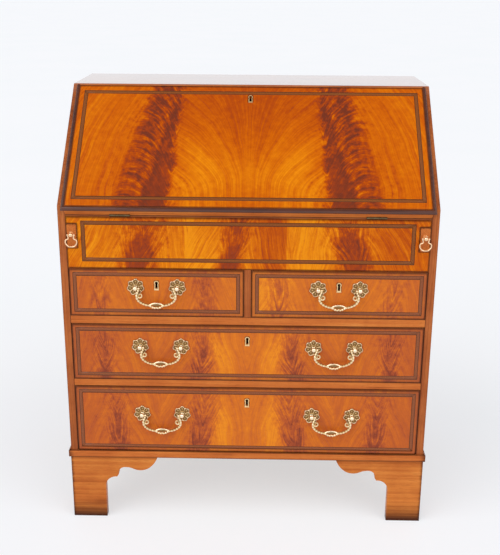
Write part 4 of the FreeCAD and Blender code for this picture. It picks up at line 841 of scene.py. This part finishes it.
fall_veneer = veneer("golden flame mahogany veneer, fall", GOLD_STOPS, 0.1, calm=0.66)
FALL_PLUME = (211, 166, 32, 1.15)
FALL_PATCHES = ((110, 0.25, 60, 0.3, -0.24), (0, 0.95, 150, 0.5, 0.16), (185, 0.9, 60, 0.3, 0.08),
                (0, 0.26, 60, 0.16, -0.14))
FALL_KEYHOLE = ((-FALL_KEYHOLE_HALF, FALL_KEYHOLE_HALF),
                (FALL_KEYHOLE_UP - KEYHOLE_BELOW, FALL_KEYHOLE_UP + KEYHOLE_ABOVE))
veneer_leaf("fall_veneer", fall_face, FALL_X, FALL_UP, (FALL_PLUME,), [FALL_KEYHOLE], fall_veneer, "fall",
            out=FALL_THICKNESS, mirror=True, tone=0.42, patches=FALL_PATCHES, seed=21, figure=fall_figure)
band_frame("fall_banding", fall_face, FALL_BAND_X, FALL_BAND_UP, WIDE_BAND, golden_banding, "fall",
           out=FALL_THICKNESS)
BEAD_STOPS = ((0.25, "#2a120b"), (0.42, "#471f12"), (0.58, "#572917"), (0.78, "#6d371f"))
mahogany_bead = timber("French polished mahogany, edge bead", 0, BEAD_STOPS, roughness=(0.1, 0.18), polish=0.6)
dress(mahogany_across, "fall_board")
dress(mahogany_bead, "fall_edge_bead")
dress(brass, "fall_bolt")
FALL_OUTWARD = (0, -np.sin(SLOPE), np.cos(SLOPE))
dress(lock_brass("brass lock, fall", FALL_OUTWARD, fall_face(0, FALL_KEYHOLE_UP, FALL_THICKNESS)), "fall_lock")
dress(dark_brass, "hinge_bed_leaves", "hinge_fall_leaves")


# The writing surface: a skiver of dark green leather let into the inside of the fall, with gilt lines tooled round.
# It is dyed and waxed, with a fine pebbled grain and a soft sheen. Its edge is pared thin and turned down.
LEATHER_X = (-343.0, 343.0)
LEATHER_UP = (40.0, 262.4)
LEATHER_BACK = 0.95
EDGE_DROP = 0.9
EDGE_TURN = 3.0
LEATHER_STEP = 6.0
leather, node, shader = new_material("dyed skiver leather with gilt tooling")
hide = node("UVMap", uv_map="hide")
edge = node("Attribute", attribute_name="edge").outputs["Fac"]
pebble = node("TexVoronoi", {"Vector": hide, "Scale": 1 / (1.6 * MM)})
patch = node("TexNoise", {"Vector": hide, "Scale": 1 / (60 * MM), "Detail": 4.0})
colour = node("ValToRGB", {"Fac": patch}, stops=((0.3, "#1c3524"), (0.7, "#31523a")))
gilt = None
for distance, half_width in ((14.0, 1.3), (18.5, 0.5)):
    away = node("Math", (edge, distance * MM), operation="SUBTRACT")
    away = node("Math", (away,), operation="ABSOLUTE")
    line = node("Math", (away, half_width * MM), operation="LESS_THAN")
    gilt = line if gilt is None else node("Math", (gilt, line), operation="MAXIMUM")
colour = node("Mix", {0: gilt, 6: colour, 7: linear("#c79a4a")}, data_type="RGBA").outputs[2]
relief = node("Bump", {"Height": pebble, "Strength": 0.25, "Distance": 0.2 * MM})
gloss = node("MapRange", {"Value": patch, "To Min": 0.42, "To Max": 0.6})
feed(shader, {"Base Color": colour, "Metallic": gilt, "Roughness": gloss, "Normal": relief})
x_lines = even_lines(*LEATHER_X, LEATHER_STEP, [LEATHER_X[1] - 1])
x, up = np.meshgrid(x_lines, even_lines(*LEATHER_UP, LEATHER_STEP))
edge = np.minimum(np.minimum(x - LEATHER_X[0], LEATHER_X[1] - x), np.minimum(up - LEATHER_UP[0], LEATHER_UP[1] - up))
outer_face = fall_face(x, up, EDGE_DROP - EDGE_DROP * np.clip(edge / EDGE_TURN, 0, 1) ** 0.5)
back_face = fall_face(x, up, np.full(x.shape, LEATHER_BACK))
rim = np.stack([np.concatenate([face[0], face[1:, -1], face[-1, -2::-1], face[-2:0:-1, 0]])
                for face in (outer_face, back_face)])
edges = np.concatenate([edge.ravel(), edge.ravel(), np.zeros(2 * rim.shape[1])])
flat = np.stack([x, up], axis=-1).reshape(-1, 2) * MM
hides = np.concatenate([flat, flat, np.zeros((2 * rim.shape[1], 2))])
skiver_grids = [(outer_face, False, None), (back_face, False, None), (rim, True, None)]
skiver = add_piece("writing_leather", skiver_grids, leather, "fall", ("fall_leather",),
                   {"hide": hides, "edge": edges})


# The fittings inside: a shelf and partitions for pigeonholes, and two small drawers with turned knobs.
# They are thin mahogany, paler and drier than the outside, because light and polish don't reach them.
INSIDE_STOPS = ((0.25, "#7a4220"), (0.42, "#a2643a"), (0.58, "#b67a4c"), (0.78, "#c58f60"))
mahogany_inside = timber("waxed mahogany, inside fittings", 2, INSIDE_STOPS, roughness=(0.4, 0.55))
mahogany_small = timber("waxed mahogany, small drawers", 0, INSIDE_STOPS, roughness=(0.35, 0.5))
dress(mahogany_inside, "pigeonholes")
dress(mahogany_small, "small_drawer_left", "small_drawer_right")


# The studio: a pale seamless floor of matt paint, an even pale surround, and a broad soft light from each side.
# The floor takes the shadow, and 0.57 of what the camera and reflections see of it is its own pale colour.
FLOOR_REACH = 60000.0
FLOOR_GLOW = 0.57
LAMP_SPREAD = 50
floor_material, node, shader = new_material("pale studio floor")
place = node("TexCoord").outputs["Object"]
cloud = node("TexNoise", {"Vector": place, "Scale": 1.0, "Detail": 2.0})
colour = node("ValToRGB", {"Fac": cloud}, stops=((0.3, "#f7f9fc"), (0.7, "#f9fafd")))
feed(shader, {"Base Color": colour, "Roughness": 0.9, "Specular IOR Level": 0.1})
path = node("LightPath").outputs
seen = node("Math", (path["Is Camera Ray"], path["Is Glossy Ray"]), operation="MAXIMUM")
seen = node("Math", (seen, path["Is Transmission Ray"]), operation="MAXIMUM")
share = node("Math", (seen, FLOOR_GLOW), operation="MULTIPLY")
glow = node("Emission", {"Color": colour})
seen_floor = node("MixShader", (share, shader, glow))
feed(floor_material.node_tree.nodes["Material Output"], {"Surface": seen_floor})
mesh = bpy.data.meshes.new("studio_floor")
reach = FLOOR_REACH * MM
floor_corners = [(-reach, -reach, 0), (reach, -reach, 0), (reach, reach, 0), (-reach, reach, 0)]
mesh.from_pydata(floor_corners, [], [(0, 1, 2, 3)])
mesh.materials.append(floor_material)
floor = bpy.data.objects.new("studio_floor", mesh)
scene.collection.objects.link(floor)

world = bpy.data.worlds.new("pale surround")
world.use_nodes = True
node = partial(add, world.node_tree)
way = node("SeparateXYZ", (node("TexCoord").outputs["Generated"],)).outputs[2]
fall_off = node("MapRange", {"Value": way, "From Min": 0.12, "From Max": 0.7, "To Min": 1.0, "To Max": 0.38},
                interpolation_type="SMOOTHSTEP")
feed(world.node_tree.nodes["Background"], {"Color": linear("#f8fafd"), "Strength": fall_off})
scene.world = world
for name, azimuth, elevation, strength in (("light left", -50, 45, 1.35), ("light right", 50, 45, 0.95)):
    lamp = bpy.data.lights.new(name, "SUN")
    lamp.energy = strength
    lamp.angle = np.radians(LAMP_SPREAD)
    light = bpy.data.objects.new(name, lamp)
    scene.collection.objects.link(light)
    light.rotation_euler = (np.radians(90 - elevation), 0, np.radians(azimuth))


# The camera stands before the bureau, a little right of its middle and above it, and looks down at it.
# FOCAL and PICTURE_HEIGHT are in pixels of the picture.
FOCAL = 926.67
PICTURE_HEIGHT = 555.0
SENSOR = 36.0
CAMERA_PLACE = (40.03, -2207.09, 1262.06)
PITCH, YAW, ROLL = np.radians((18.06, -1.008, -0.385))
forward = np.array([np.sin(YAW) * np.cos(PITCH), np.cos(YAW) * np.cos(PITCH), -np.sin(PITCH)])
right = np.cross(forward, (0, 0, 1))
right /= np.linalg.norm(right)
down = np.cross(forward, right)
image_right = np.cos(ROLL) * right + np.sin(ROLL) * down
image_down = np.cos(ROLL) * down - np.sin(ROLL) * right
lens = bpy.data.cameras.new("camera")
lens.sensor_width = SENSOR
lens.lens = FOCAL / PICTURE_HEIGHT * SENSOR
lens.clip_end = 200.0
camera = bpy.data.objects.new("camera", lens)
scene.collection.objects.link(camera)
turned = np.stack([image_right, -image_down, -forward], axis=1)
camera.matrix_world = Matrix.LocRotScale(np.array(CAMERA_PLACE) * MM, Matrix(turned.tolist()).to_quaternion(), None)
scene.camera = camera
